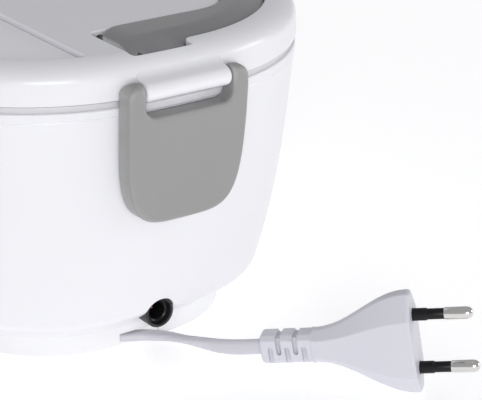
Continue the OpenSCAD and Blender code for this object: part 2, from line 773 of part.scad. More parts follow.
// Shape on the front of the lid that carries the barrel
module barrel_block() {
    along_x(barrel_length) {
        translate([-half_l - axis_out, axis_z]) circle(barrel_radius);
        polygon([
            [-half_l - axis_out, axis_z - barrel_radius], [-half_l + 0.4, lid_bottom + pass / 2],
            [-half_l + 1.6, lid_bottom + pass], [-half_l + 1.6, shoulder_z + 0.8],
            [-half_l - axis_out - barrel_radius * sin(18), axis_z + barrel_radius * cos(18)]]);
    }
}
module ear_pockets() {
    for (s = [-1, 1]) {
        start = s > 0 ? barrel_length / 2 : -latch_width / 2 - 0.5;
        rod_x([start, -half_l - axis_out, axis_z], ear_swing + 0.3, (latch_width - barrel_length) / 2 + 0.5);
        rod_x([s > 0 ? barrel_length / 2 - 5 : -barrel_length / 2 - pass, -half_l - axis_out, axis_z],
            stub_radius + running_gap, 5 + pass);
    }
}

module lid() {
    w = lid_wall;
    color("white") difference() {
        union() {
            loft(concat(
                [[shoulder_width + 1.5, lid_top - w], [shoulder_width - 3, lid_top - w - 0.7],
                    [w + 0.6, shoulder_z], [w, lid_bottom], [0, lid_bottom]],
                shoulder));
            intersection() {
                loft(concat([[w / 2, lid_bottom]], [for (p = shoulder) [p[0] + w / 2 * (1 - (p[1] - shoulder_z) / shoulder_height), p[1] - 0.01]]));
                pans();
            }
            translate([vent_spot[0], vent_spot[1], dish_top])
                cylinder(r = vent_radius + 2, h = lid_top - w / 2 - dish_top);
            both_ends() barrel_block();
        }
        translate([0, 0, recess_floor]) linear_extrude(far) union() {
            handle_plan(handle_gap);
            hub_plan(handle_gap, recess_round);
        }
        translate([0, 0, cover_ledge]) linear_extrude(far) strip_plan(strip_inset, spoon_edge);
        translate([0, 0, well_floor]) linear_extrude(far) well_plan(0);
        translate([vent_spot[0], vent_spot[1], 0]) cylinder(r = vent_radius, h = far);
        both_ends() ear_pockets();
        for (s = [-1, 1]) handle_pin(s, handle_pin_radius + 0.02, 0.2);
    }
}

// Trays hanging under the lid's top round its recesses
module pans() {
    translate([0, 0, recess_floor - pan_wall]) linear_extrude(lid_top - recess_floor + pan_wall - 1) union() {
        handle_plan(handle_gap + pan_wall);
        hub_plan(handle_gap + pan_wall, recess_round + pan_wall);
    }
    translate([0, 0, cover_ledge - pan_wall]) linear_extrude(lid_top - cover_ledge + pan_wall - 1)
        strip_plan(strip_inset - pan_wall, spoon_edge - pan_wall);
    translate([0, 0, well_floor - pan_wall]) linear_extrude(lid_top - well_floor + pan_wall - 2)
        well_plan(pan_wall);
}

// Inner panel of the lid, dished into the tray's mouth
module lid_liner() {
    color("whitesmoke") difference() {
        loft([
            [dish_inset + 2, dish_bottom], [dish_inset, dish_bottom + 1], [dish_inset, gasket_top],
            [lid_wall + 0.6, gasket_top], [lid_wall + 0.6, liner_rim_top],
            [dish_inset + dish_wall, liner_rim_top], [dish_inset + dish_wall, dish_top + 1],
            [dish_inset + 2, dish_top]]);
        translate([vent_spot[0], vent_spot[1], 0]) cylinder(r = vent_radius - 1, h = far);
    }
}

module lid_gasket() {
    lip = 1;
    color("lightgray") hoop([
        [tray_rim_inset, gasket_bottom], [tray_rim_inset, gasket_top], [tray_top_inset - lip, gasket_top],
        [tray_top_inset - lip, gasket_bottom + 0.5], [tray_top_inset - lip - 0.5, gasket_bottom]]);
}

// Pin across one hinge block, from the inner wall of the recess to the outer one
module handle_pin(side, r, extra) {
    inner = half_l - arm_inner - handle_gap - 1.3;
    outer = end_y(hub_outer_inset - handle_gap - 1.2, pivot_offset);
    rod_y([-pivot_offset, side > 0 ? inner - extra : -outer - extra, pivot_z], r, outer - inner + 2 * extra);
}
module handle_pins() {
    color("silver") for (s = [-1, 1]) handle_pin(s, handle_pin_radius, 0);
}

// Section of the handle's ends, drawn as [x, z]: rounded under the pin, with a long slope over it
module nose_section() {
    run = pivot_offset + hub_radius - nose_x;
    polygon(concat(
        [for (a = [90 : -9 : 0]) [-nose_x - run * cos(a), pivot_z + hub_radius * sin(a)]],
        [for (a = [190 : 10 : 270]) [-pivot_offset + hub_radius * cos(a), pivot_z + hub_radius * sin(a)]],
        [[half_w, handle_bottom], [half_w, handle_top]]));
}

module carry_handle() {
    bevel = 7.6;
    color("dimgray") difference() {
        intersection() {
            union() {
                intersection() {
                    translate([0, 0, handle_bottom]) linear_extrude(handle_thickness) handle_plan(0);
                    loft([[handle_inset, handle_bottom], [handle_inset, handle_bottom + 3.6],
                        [handle_inset + 1, handle_bottom + 4.8], [handle_inset + bevel - 1, handle_top - 0.5],
                        [handle_inset + bevel + 1.5, handle_top]]);
                }
                intersection() {
                    translate([0, 0, handle_bottom]) linear_extrude(handle_thickness) hub_plan(0, hub_round);
                    loft([[hub_outer_inset, handle_bottom], [hub_outer_inset, handle_bottom + 2.6],
                        [hub_outer_inset + 1, handle_bottom + 4], [handle_inset + bevel - 1, handle_top - 0.5],
                        [handle_inset + bevel + 1.5, handle_top]]);
                    rod_y([-pivot_offset, -far / 2, pivot_z], hub_block_x + pivot_offset, far);
                }
            }
            translate([0, half_l, 0]) rotate([90, 0, 0]) linear_extrude(box_length) nose_section();
        }
        rod_y([-pivot_offset, -far / 2, pivot_z], handle_pin_radius + running_gap, far);
    }
}

// ---- Latches ----
slot_half = barrel_length / 2 + side_gap;
slot_drop = axis_z - shelf_top;
shelf_bottom = shelf_top - 2.4;
slot_corner = 3.5;
latch_taper_z = axis_z - latch_drop * 0.08;
latch_bottom_z = axis_z - latch_drop;
latch_bow_z = axis_z - 2.2;
latch_bow_radius = 300;
latch_power = 3.7;
latch_draw = 0.05;
ear_corner = 4.4;

// Front view: straight ears, then a rounded shield; g shrinks it
function latch_side(g) = let (h = latch_taper_z - latch_bottom_z - g, w = latch_width / 2 - g, n = 12)
    [for (i = [0 : n]) let (a = 90 * i / n)
        [w * pow(sin(a), 2 / latch_power) * (1 - latch_draw * pow(cos(a), 2 / latch_power)),
            latch_taper_z - h * pow(cos(a), 2 / latch_power)]];
module latch_view(g) {
    right = latch_side(g);
    top = axis_z + ear_radius;
    n = len(right);
    half = latch_width / 2 - g;
    corner = ear_corner - g;
    polygon(concat(right,
        [for (a = [0 : 30 : 90]) [half - corner * (1 - cos(a)), top - corner * (1 - sin(a))]],
        [for (a = [90 : -30 : 0]) [-half + corner * (1 - cos(a)), top - corner * (1 - sin(a))]],
        [for (i = [n - 1 : -1 : 1]) [-right[i][0], right[i][1]]]));
}
function bow(z) = z < latch_bow_z ? pow(latch_bow_z - z, 2) / (2 * latch_bow_radius) : 0;
latch_heights = [for (i = [0 : 8]) latch_bow_z - i / 8 * (latch_bow_z - latch_bottom_z + 1)];
// Side view between the bowed front face set back by g and the edge beside the body's wall
module latch_section(g, back_gap) {
    front = -half_l - latch_stand_off;
    top = axis_z + ear_radius - g;
    polygon(concat(
        [[-half_l - axis_out + g, top]],
        [for (a = [0 : 22.5 : 90]) [front + g + ear_round * (1 - sin(a)), top - ear_round * (1 - cos(a))]],
        [for (z = latch_heights) [front + g + bow(z), z]],
        [for (i = [len(latch_heights) - 1 : -1 : 1]) [-half_l - back_gap + bow(latch_heights[i]), latch_heights[i]]],
        [[-half_l - back_gap, axis_z - ear_radius * 0.78]]));
    if (g == 0) translate([-half_l - axis_out, axis_z]) circle(ear_radius);
}
module latch() {
    color("darkgray") difference() {
        union() {
            difference() {
                intersection() {
                    along_x(latch_width) latch_section(0, 0.7);
                    translate([0, -half_l + 20, 0]) rotate([90, 0, 0]) linear_extrude(60)
                        latch_view(0);
                }
                intersection() {
                    along_x(latch_width) latch_section(latch_wall, -far / 2);
                    translate([0, -half_l + 20, 0]) rotate([90, 0, 0]) linear_extrude(60)
                        latch_view(latch_wall);
                    block([-far, -far, 0], [far, far, shelf_bottom]);
                }
            }
            along_x(hook_width) polygon([
                [-half_l - 1, hook_top], [-half_l + hook_tip - 0.4, hook_top], [-half_l + hook_tip, hook_top - 0.4],
                [-half_l + hook_tip, hook_bottom + 0.4], [-half_l + hook_tip - 0.6, hook_bottom],
                [-half_l - 1, hook_bottom]]);
        }
        // Slot between the ears that shows the barrel
        translate([0, -half_l + 20, 0]) rotate([90, 0, 0]) linear_extrude(60) slot_view();
    }
    color("darkgray") for (s = [-1, 1])
        rod_x([s > 0 ? barrel_length / 2 - 4.5 : -slot_half - 0.3, -half_l - axis_out, axis_z], stub_radius, 4.8 + side_gap);
}
module slot_view() {
    bottom = axis_z - slot_drop;
    translate([-slot_half, bottom + slot_corner]) square([2 * slot_half, far]);
    translate([-slot_half + slot_corner, bottom]) square([2 * (slot_half - slot_corner), far]);
    for (s = [-1, 1]) translate([s * (slot_half - slot_corner), bottom + slot_corner]) circle(slot_corner);
}
module latch_front() latch();
module latch_rear() rotate(180) latch();

// ---- Loose pieces in the lid ----
module spoon_cover() {
    color("gainsboro") difference() {
        translate([0, 0, cover_ledge]) linear_extrude(spoon_cover_thickness)
            strip_plan(strip_inset + side_gap, spoon_edge + side_gap);
        translate([-spoon_edge - side_gap, 0, cover_ledge - pass]) cylinder(r = 6, h = far);
    }
}

spoon_x = -(half_w - well_inset + spoon_edge + well_margin) / 2;
spoon_z = well_floor + side_gap;
spoon_bowl = [11.5, 19];
spoon_length = 132;
spoon_sheet = 0.9;
function oval(a, b, z, n = 28) = [for (i = [0 : n - 1]) [a * cos(360 * i / n), b * sin(360 * i / n), z]];
module spoon() {
    a = spoon_bowl[0];
    b = spoon_bowl[1];
    s = spoon_sheet;
    depth = 4.4;
    rings = [oval(a * 0.35, b * 0.45, 0), oval(a * 0.8, b * 0.85, depth * 0.35), oval(a, b, depth),
        oval(a - s, b - s, depth), oval(a * 0.8 - s, b * 0.85 - s, depth * 0.35 + s),
        oval(a * 0.35 - s / 2, b * 0.45 - s / 2, s)];
    n = len(rings[0]);
    m = len(rings);
    bowl_y = -spoon_length / 2 + b;
    color("silver") translate([spoon_x, 0, spoon_z]) {
        translate([0, bowl_y, 0]) polyhedron([for (r = rings) each r], concat(
            [[for (i = [0 : n - 1]) i]],
            [for (k = [0 : m - 2]) for (i = [0 : n - 1])
                [k * n + i, (k + 1) * n + i, (k + 1) * n + (i + 1) % n, k * n + (i + 1) % n]],
            [[for (i = [n - 1 : -1 : 0]) (m - 1) * n + i]]));
        translate([0, 0, depth - 1.2]) linear_extrude(1.2) polygon([
            [-2.2, bowl_y + b - 1], [2.2, bowl_y + b - 1], [5, spoon_length / 2 - 12],
            [5, spoon_length / 2 - 4], [2.5, spoon_length / 2], [-2.5, spoon_length / 2],
            [-5, spoon_length / 2 - 4], [-5, spoon_length / 2 - 12]]);
    }
}

module steam_plug() {
    color("lightgray") translate([vent_spot[0], vent_spot[1], 0]) {
        translate([0, 0, lid_top]) cylinder(r = vent_flange, h = 1.4);
        translate([0, 0, lid_top - 5]) cylinder(r = vent_radius - 0.08, h = 5 + 1);
        translate([vent_flange - 1, -2.5, lid_top]) cube([5, 5, 1.4]);
    }
}

outer_body();
bottom_cover();
chamber_liner();
heating_plate();
mains_heater();
car_heater();
insulation_pad();
heater_clamp();
clamp_screws();
thermostat();
thermal_fuse();
wiring();
cover_screws();
socket_bushing();
dc_socket();
socket_pin();
cord_gland();
cord_winding();
power_cord();
plug_body();
pin_sleeves();
plug_pins();
food_tray();
lid();
lid_liner();
lid_gasket();
handle_pins();
carry_handle();
latch_front();
latch_rear();
spoon_cover();
spoon();
steam_plug();
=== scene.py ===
"""Looks for an electric lunch box: its shells, finishes, lead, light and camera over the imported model.

Sizes in the classes are millimetres in the box's own frame: origin at the bottom centre, +Z up,
the long side along Y and the socket side facing -Y. Meshes are built in metres.
"""

import json
import logging
import math
from collections.abc import Callable, Iterable, Sequence
from dataclasses import dataclass, field
from enum import Enum
from typing import Any

import bmesh
import bpy
from mathutils import Euler, Matrix, Vector
from mathutils.geometry import delaunay_2d_cdt

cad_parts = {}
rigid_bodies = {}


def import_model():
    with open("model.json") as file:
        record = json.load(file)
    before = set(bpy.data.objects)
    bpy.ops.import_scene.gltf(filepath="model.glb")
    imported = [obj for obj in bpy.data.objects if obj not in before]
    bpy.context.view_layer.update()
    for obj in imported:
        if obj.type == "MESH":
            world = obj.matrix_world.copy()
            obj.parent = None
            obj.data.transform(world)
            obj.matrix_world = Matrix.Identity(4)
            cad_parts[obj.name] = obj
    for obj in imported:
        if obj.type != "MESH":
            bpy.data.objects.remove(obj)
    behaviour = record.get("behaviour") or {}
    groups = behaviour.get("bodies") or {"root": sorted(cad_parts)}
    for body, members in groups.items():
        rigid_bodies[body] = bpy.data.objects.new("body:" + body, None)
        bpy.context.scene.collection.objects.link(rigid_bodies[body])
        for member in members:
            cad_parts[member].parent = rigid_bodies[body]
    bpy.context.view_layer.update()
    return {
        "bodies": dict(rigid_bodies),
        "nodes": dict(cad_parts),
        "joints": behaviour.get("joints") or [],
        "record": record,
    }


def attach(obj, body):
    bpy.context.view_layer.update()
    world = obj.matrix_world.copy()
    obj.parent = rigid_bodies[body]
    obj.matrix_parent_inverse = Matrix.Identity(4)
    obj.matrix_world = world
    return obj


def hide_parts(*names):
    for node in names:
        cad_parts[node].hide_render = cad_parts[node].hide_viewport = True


LOG = logging.getLogger("lunch_box")
MM = 0.001

Spot = tuple[float, float]
Point = tuple[float, float, float]
Plan = list[Spot]
Colour = tuple[float, float, float]
Frame = dict[str, Any]


class Axis(Enum):
    """The direction along which a drawn section is drawn out into a prism."""

    X = "x"
    Y = "y"
    Z = "z"

    def place(self, a: float, b: float, along: float) -> Point:
        """Return the point of section place (a, b) at a distance along the axis."""
        if self is Axis.X:
            return (along, a, b)
        if self is Axis.Y:
            return (a, along, b)
        return (a, b, along)


class Cut(Enum):
    """How one solid acts on another."""

    UNION = "UNION"
    DIFFERENCE = "DIFFERENCE"
    INTERSECT = "INTERSECT"


# ---- Plan of the box ----


@dataclass(frozen=True)
class Outline:
    """The box's plan: bulged ends and sides joined by corner arcs that run on smoothly."""

    length: float = 236.0
    width: float = 158.0
    end_radius: float = 300.0
    side_radius: float = 600.0
    corner_radius: float = 66.0
    end_steps: int = 4
    corner_steps: int = 24
    side_steps: int = 8

    def centres(self) -> tuple[Vector, Vector, Vector, float, float]:
        """Work out where the three arcs of a quarter have their centres and where they meet.

        Returns:
            Centres of the end, corner and side arcs of the front right quarter, then the angles
            at which the end arc and the side arc meet the corner arc.
        """
        end = Vector((0.0, self.end_radius - self.length / 2))
        side = Vector((self.width / 2 - self.side_radius, 0.0))
        span = (end - side).length
        end_reach = self.end_radius - self.corner_radius
        side_reach = self.side_radius - self.corner_radius
        along = (end_reach**2 - side_reach**2 + span**2) / (2 * span)
        across = math.sqrt(end_reach**2 - along**2)
        unit = (side - end) / span
        corner = end + along * unit + across * Vector((-unit.y, unit.x))
        end_angle = math.atan2(corner.y - end.y, corner.x)
        side_angle = math.atan2(corner.y, corner.x - side.x)
        return end, corner, side, end_angle, side_angle

    def ring(self, inset: float) -> Plan:
        """Draw the outline set back by a distance, anticlockwise from the middle of the front.

        Args:
            inset: Distance inwards from the lid's edge.

        Returns:
            The corners of the closed outline; the count does not depend on the inset.
        """
        end, corner, side, end_angle, side_angle = self.centres()
        quarter: Plan = []
        for centre, radius, start, stop, steps in (
            (end, self.end_radius, -math.pi / 2, end_angle, self.end_steps),
            (corner, self.corner_radius, end_angle, side_angle, self.corner_steps),
            (side, self.side_radius, side_angle, 0.0, self.side_steps),
        ):
            for step in range(steps):
                angle = start + (stop - start) * step / steps
                reach = radius - inset
                quarter.append((centre.x + reach * math.cos(angle), centre.y + reach * math.sin(angle)))
        half = quarter + [(self.width / 2 - inset, 0.0)] + [(x, -y) for x, y in reversed(quarter[1:])]
        return half + [(-x, -y) for x, y in half]

    def inset_at(self, x: float, y: float) -> float:
        """Return how far a place in the plan lies inside the outline."""
        end, corner, side, end_angle, side_angle = self.centres()
        spot = Vector((abs(x), -abs(y)))
        if math.atan2(spot.y - end.y, spot.x - end.x) < end_angle:
            return self.end_radius - (spot - end).length
        if math.atan2(spot.y - side.y, spot.x - side.x) > side_angle:
            return self.side_radius - (spot - side).length
        return self.corner_radius - (spot - corner).length

    def end_y(self, inset: float, x: float = 0.0) -> float:
        """Return how far the outline is from the centre line at a place x across the box's end."""
        return self.length / 2 - self.end_radius + math.sqrt((self.end_radius - inset) ** 2 - x * x)

    def right_of(self, inset: float, x: float) -> Plan:
        """Draw the part of the outline to the right of a line, from the front to the rear.

        Args:
            inset: Distance inwards from the lid's edge.
            x: Place of the line across the box.

        Returns:
            The open run of corners, which starts and ends on the line.
        """
        ring = self.ring(inset)
        half = len(ring) // 2
        ordered = ring[half + half // 2:] + ring[:half + half // 2]
        run = [p for p in ordered if p[0] > x + 0.05]
        reach = self.end_y(inset, x)
        return [(x, -reach)] + run + [(x, reach)]

    def left_of(self, inset: float, x: float) -> Plan:
        """Draw the part of the outline to the left of a line, from the rear to the front."""
        return [(-a, -b) for a, b in self.right_of(inset, -x)]


OUTLINE = Outline()


# ---- Meshes ----


class Form:
    """A mesh under construction, kept as points in millimetres and faces."""

    def __init__(self) -> None:
        """Start with nothing."""
        self.points: list[Point] = []
        self.faces: list[tuple[int, ...]] = []

    def ring(self, points: Iterable[Point]) -> list[int]:
        """Add points and return their numbers."""
        start = len(self.points)
        self.points.extend(points)
        return list(range(start, len(self.points)))

    def bridge(self, first: Sequence[int], second: Sequence[int]) -> None:
        """Join two closed rings of the same count with four-sided faces."""
        count = len(first)
        for i in range(count):
            j = (i + 1) % count
            self.faces.append((first[i], first[j], second[j], second[i]))

    def loft(self, rings: Sequence[Sequence[Point]], hoop: bool = False) -> "Form":
        """Skin a row of rings.

        Args:
            rings: Closed rings of the same count, in order.
            hoop: Whether the last ring joins the first; otherwise both ends are capped.

        Returns:
            The form itself.
        """
        made = [self.ring(ring) for ring in rings]
        for first, second in zip(made, made[1:]):
            self.bridge(first, second)
        if hoop:
            self.bridge(made[-1], made[0])
        else:
            self.faces.append(tuple(reversed(made[0])))
            self.faces.append(tuple(made[-1]))
        return self

    def build(self, name: str) -> bpy.types.Object:
        """Turn the form into a Blender object in metres.

        Args:
            name: Name of the object.

        Returns:
            The object, linked to the scene, with its faces turned outwards.
        """
        mesh = bpy.data.meshes.new(name)
        mesh.from_pydata([(x * MM, y * MM, z * MM) for x, y, z in self.points], [], self.faces)
        work = bmesh.new()
        work.from_mesh(mesh)
        bmesh.ops.remove_doubles(work, verts=work.verts, dist=1e-7)
        bmesh.ops.dissolve_degenerate(work, edges=work.edges, dist=1e-7)
        bmesh.ops.recalc_face_normals(work, faces=work.faces)
        work.to_mesh(mesh)
        work.free()
        piece = bpy.data.objects.new(name, mesh)
        bpy.context.scene.collection.objects.link(piece)
        return piece


class Solid:
    """A closed mesh that takes unions (+), cuts (-) and intersections (&); each operand is used up."""

    def __init__(self, form: Form) -> None:
        """Build the form as a Blender object."""
        self.piece = form.build("solid")

    def _act(self, other: "Solid", how: Cut) -> "Solid":
        """Change this solid by another one, which is then removed."""
        modifier = self.piece.modifiers.new("cut", "BOOLEAN")
        modifier.operation = how.value
        modifier.solver = "EXACT"
        modifier.object = other.piece
        settle(self.piece)
        discard(other.piece)
        return self

    def __add__(self, other: "Solid") -> "Solid":
        """Join another solid to this one."""
        return self._act(other, Cut.UNION)

    def __sub__(self, other: "Solid") -> "Solid":
        """Cut another solid out of this one."""
        return self._act(other, Cut.DIFFERENCE)

    def __and__(self, other: "Solid") -> "Solid":
        """Keep what this solid shares with another one."""
        return self._act(other, Cut.INTERSECT)

    def named(self, name: str) -> bpy.types.Object:
        """Give the finished object its name and return it."""
        self.piece.name = name
        self.piece.data.name = name
        return self.piece


def settle(piece: bpy.types.Object) -> None:
    """Apply the modifiers of an object to its mesh."""
    graph = bpy.context.evaluated_depsgraph_get()
    mesh = bpy.data.meshes.new_from_object(piece.evaluated_get(graph))
    old = piece.data
    piece.modifiers.clear()
    piece.data = mesh
    bpy.data.meshes.remove(old)


def discard(piece: bpy.types.Object) -> None:
    """Remove an object and its mesh."""
    mesh = piece.data
    bpy.data.objects.remove(piece)
    bpy.data.meshes.remove(mesh)


def smooth(piece: bpy.types.Object, angle: float = 32.0) -> None:
    """Shade an object smoothly, with sharp edges where it turns by more than an angle in degrees."""
    piece.data.shade_smooth()
    piece.data.set_sharp_from_angle(angle=math.radians(angle))


def tidy(piece: bpy.types.Object, reach: float = 0.03) -> None:
    """Merge the crumbs that cuts leave: corners closer than a reach in millimetres and flat seams."""
    work = bmesh.new()
    work.from_mesh(piece.data)
    bmesh.ops.remove_doubles(work, verts=work.verts, dist=reach * MM)
    bmesh.ops.dissolve_degenerate(work, edges=work.edges, dist=reach * MM)
    bmesh.ops.dissolve_limit(work, angle_limit=math.radians(0.4), verts=work.verts, edges=work.edges)
    work.to_mesh(piece.data)
    work.free()


def even_out(piece: bpy.types.Object, angle: float = 40.0) -> bpy.types.Object:
    """Shade an object smoothly, led by its larger faces.

    Args:
        piece: The object.
        angle: Edges that turn by more than this many degrees stay sharp.

    Returns:
        The same object.
    """
    smooth(piece, angle)
    normals = piece.modifiers.new("normals", "WEIGHTED_NORMAL")
    normals.mode = "FACE_AREA_WITH_ANGLE"
    normals.keep_sharp = True
    settle(piece)
    return piece


def quarter(piece: bpy.types.Object, most: int = 40) -> bpy.types.Object:
    """Cut flat faces with many corners, such as a ring in one face, which would fill wrongly, into simpler ones.

    Args:
        piece: The object.
        most: Faces with more corners than this are cut.

    Returns:
        The same object.
    """
    mesh = bmesh.new()
    mesh.from_mesh(piece.data)
    for normal in ((1, 0, 0), (0, 1, 0)):
        wide = [face for face in mesh.faces if len(face.verts) > most]
        parts = {part for face in wide for part in (*face.verts, *face.edges, face)}
        if parts:
            bmesh.ops.bisect_plane(mesh, geom=list(parts), dist=1e-6, plane_co=(0.0003, 0.0004, 0.0), plane_no=normal)
    mesh.to_mesh(piece.data)
    mesh.free()
    return piece


def soften(piece: bpy.types.Object, radius: float, steps: int = 2, angle: float = 32.0) -> bpy.types.Object:
    """Round the sharp edges of an object and shade it by the size of its faces.

    Args:
        piece: The object.
        radius: Width of the rounding in millimetres.
        steps: Faces across each rounded edge.
        angle: Edges that turn by less than this many degrees stay as they are.

    Returns:
        The same object.
    """
    tidy(piece)
    bevel = piece.modifiers.new("edge", "BEVEL")
    bevel.width = radius * MM
    bevel.segments = steps
    bevel.limit_method = "ANGLE"
    bevel.angle_limit = math.radians(angle)
    bevel.use_clamp_overlap = False
    bevel.miter_outer = "MITER_ARC"
    settle(piece)
    return even_out(quarter(piece))


def at_height(plan: Plan, z: float) -> list[Point]:
    """Lay a plan at a height."""
    return [(x, y, z) for x, y in plan]


def through_levels(levels: Sequence[Spot], hoop: bool = False) -> Form:
    """Skin the outline through levels given as (inset, height)."""
    return Form().loft([at_height(OUTLINE.ring(inset), z) for inset, z in levels], hoop)


def prism(section: Plan, axis: Axis, low: float, high: float) -> Form:
    """Draw a section out along an axis between two places."""
    return Form().loft([[axis.place(a, b, along) for a, b in section] for along in (low, high)])


def cuboid(low: Point, high: Point) -> Form:
    """Make a block from one corner to the other, for use in cuts."""
    section = [(low[0], low[1]), (high[0], low[1]), (high[0], high[1]), (low[0], high[1])]
    return prism(section, Axis.Z, low[2], high[2])


def circle(centre: Spot, radius: float, steps: int = 48) -> Plan:
    """Draw a circle."""
    turns = (2 * math.pi * step / steps for step in range(steps))
    return [(centre[0] + radius * math.cos(t), centre[1] + radius * math.sin(t)) for t in turns]


def arc(centre: Spot, radius: float, start: float, stop: float, steps: int) -> Plan:
    """Draw an arc between two angles in degrees, both ends included."""
    angles = (math.radians(start + (stop - start) * step / steps) for step in range(steps + 1))
    return [(centre[0] + radius * math.cos(a), centre[1] + radius * math.sin(a)) for a in angles]


def turned(profile: Sequence[Spot], centre: Spot, axis: Axis, steps: int = 48) -> Form:
    """Turn a profile round an axis.

    Args:
        profile: Places (distance from the axis, place along it), from one end to the other.
        centre: Where the axis crosses the plane of the other two directions.
        axis: Direction of the axis.
        steps: Faces round the axis.

    Returns:
        The closed form.
    """
    rings = [[axis.place(a, b, along) for a, b in circle(centre, radius, steps)] for radius, along in profile]
    return Form().loft(rings)


def round_corner(before: Spot, corner: Spot, after: Spot, radius: float, steps: int = 6) -> Plan:
    """Replace a corner of a plan by an arc.

    Args:
        before: A place on the edge that leads to the corner.
        corner: The corner.
        after: A place on the edge that leaves it.
        radius: Radius of the arc.
        steps: Edges along the arc.

    Returns:
        The places along the arc.
    """
    tip = Vector(corner)
    back, on = (Vector(before) - tip).normalized(), (Vector(after) - tip).normalized()
    half = back.angle(on) / 2
    centre = tip + (back + on).normalized() * (radius / math.sin(half))
    start = tip + back * (radius / math.tan(half)) - centre
    stop = tip + on * (radius / math.tan(half)) - centre
    turn = start.angle_signed(stop)
    places = (centre + Matrix.Rotation(-turn * step / steps, 2) @ start for step in range(steps + 1))
    return [(place.x, place.y) for place in places]


def offset_plan(plan: Plan, distance: float) -> Plan:
    """Move each corner of a closed plan outwards, for a plan that runs anticlockwise."""
    moved: Plan = []
    count = len(plan)
    for i, spot in enumerate(plan):
        before = (Vector(spot) - Vector(plan[i - 1])).normalized()
        after = (Vector(plan[(i + 1) % count]) - Vector(spot)).normalized()
        along = (before + after).normalized()
        reach = distance / max(0.5, along.dot(after))
        moved.append((spot[0] + along.y * reach, spot[1] - along.x * reach))
    return moved


def holds(plan: Plan, x: float, y: float) -> bool:
    """Say whether a closed plan holds a place."""
    inside = False
    for (ax, ay), (bx, by) in zip(plan, plan[1:] + plan[:1]):
        if (ay > y) != (by > y) and x < ax + (y - ay) * (bx - ax) / (by - ay):
            inside = not inside
    return inside


def away(plan: Plan, x: float, y: float) -> float:
    """Return the distance from a place to the edge of a closed plan."""
    best = 1e9
    for (ax, ay), (bx, by) in zip(plan, plan[1:] + plan[:1]):
        dx, dy = bx - ax, by - ay
        share = max(0.0, min(1.0, ((x - ax) * dx + (y - ay) * dy) / max(1e-12, dx * dx + dy * dy)))
        best = min(best, math.hypot(x - ax - dx * share, y - ay - dy * share))
    return best


def fillet(radius: float, distance: float) -> float:
    """Return how far a rounded edge has dropped at a distance from the edge's foot."""
    return 0.0 if distance >= radius else radius - math.sqrt(max(0.0, radius**2 - (radius - distance) ** 2))


FILLET_STEPS = (0.0, 0.03, 0.12, 0.28, 0.52, 1.0)


def sheet(
    rings: Sequence[Plan], spots: Sequence[Spot], keep: Callable[[float, float], bool]
) -> tuple[Plan, list[tuple[int, ...]]]:
    """Cover a plan with triangles that follow rings, which may cross.

    Args:
        rings: Closed rings whose edges the triangles follow.
        spots: Further corners between them.
        keep: Says of the middle of a triangle whether it belongs to the sheet.

    Returns:
        The corners and the triangles.
    """
    places = [Vector(spot) for ring in rings for spot in ring] + [Vector(spot) for spot in spots]
    edges: list[tuple[int, int]] = []
    start = 0
    for ring in rings:
        count = len(ring)
        edges += [(start + i, start + (i + 1) % count) for i in range(count)]
        start += count
    made, _, faces, *_ = delaunay_2d_cdt(places, edges, [], 0, 1e-4)
    kept = []
    for face in faces:
        middle = sum((made[i] for i in face), Vector((0.0, 0.0))) / len(face)
        if keep(middle.x, middle.y):
            kept.append(tuple(face))
    return [(place.x, place.y) for place in made], kept


# ---- Finishes ----

Feed = Any


class Value:
    """A number socket that stands in sums and products, each of which adds a Math node."""

    def __init__(self, tree: "Tree", socket: bpy.types.NodeSocket) -> None:
        """Wrap a socket of a tree."""
        self.tree = tree
        self.socket = socket

    def _math(self, operation: str, first: Feed, second: Feed) -> "Value":
        """Add a Math node on two values."""
        node = self.tree.add("ShaderNodeMath", {"operation": operation}, {0: first, 1: second})
        return Value(self.tree, node.outputs[0])

    def __add__(self, other: Feed) -> "Value":
        """Add a value."""
        return self._math("ADD", self, other)

    def __radd__(self, other: Feed) -> "Value":
        """Add this to a value."""
        return self._math("ADD", other, self)

    def __sub__(self, other: Feed) -> "Value":
        """Subtract a value."""
        return self._math("SUBTRACT", self, other)

    def __rsub__(self, other: Feed) -> "Value":
        """Subtract this from a value."""
        return self._math("SUBTRACT", other, self)

    def __mul__(self, other: Feed) -> "Value":
        """Multiply by a value."""
        return self._math("MULTIPLY", self, other)

    def __rmul__(self, other: Feed) -> "Value":
        """Multiply a value by this."""
        return self._math("MULTIPLY", other, self)

    def __pow__(self, other: Feed) -> "Value":
        """Raise to a power."""
        return self._math("POWER", self, other)

    def clipped(self) -> "Value":
        """Keep the value between nought and one."""
        return self._math("MINIMUM", self._math("MAXIMUM", self, 0.0), 1.0)


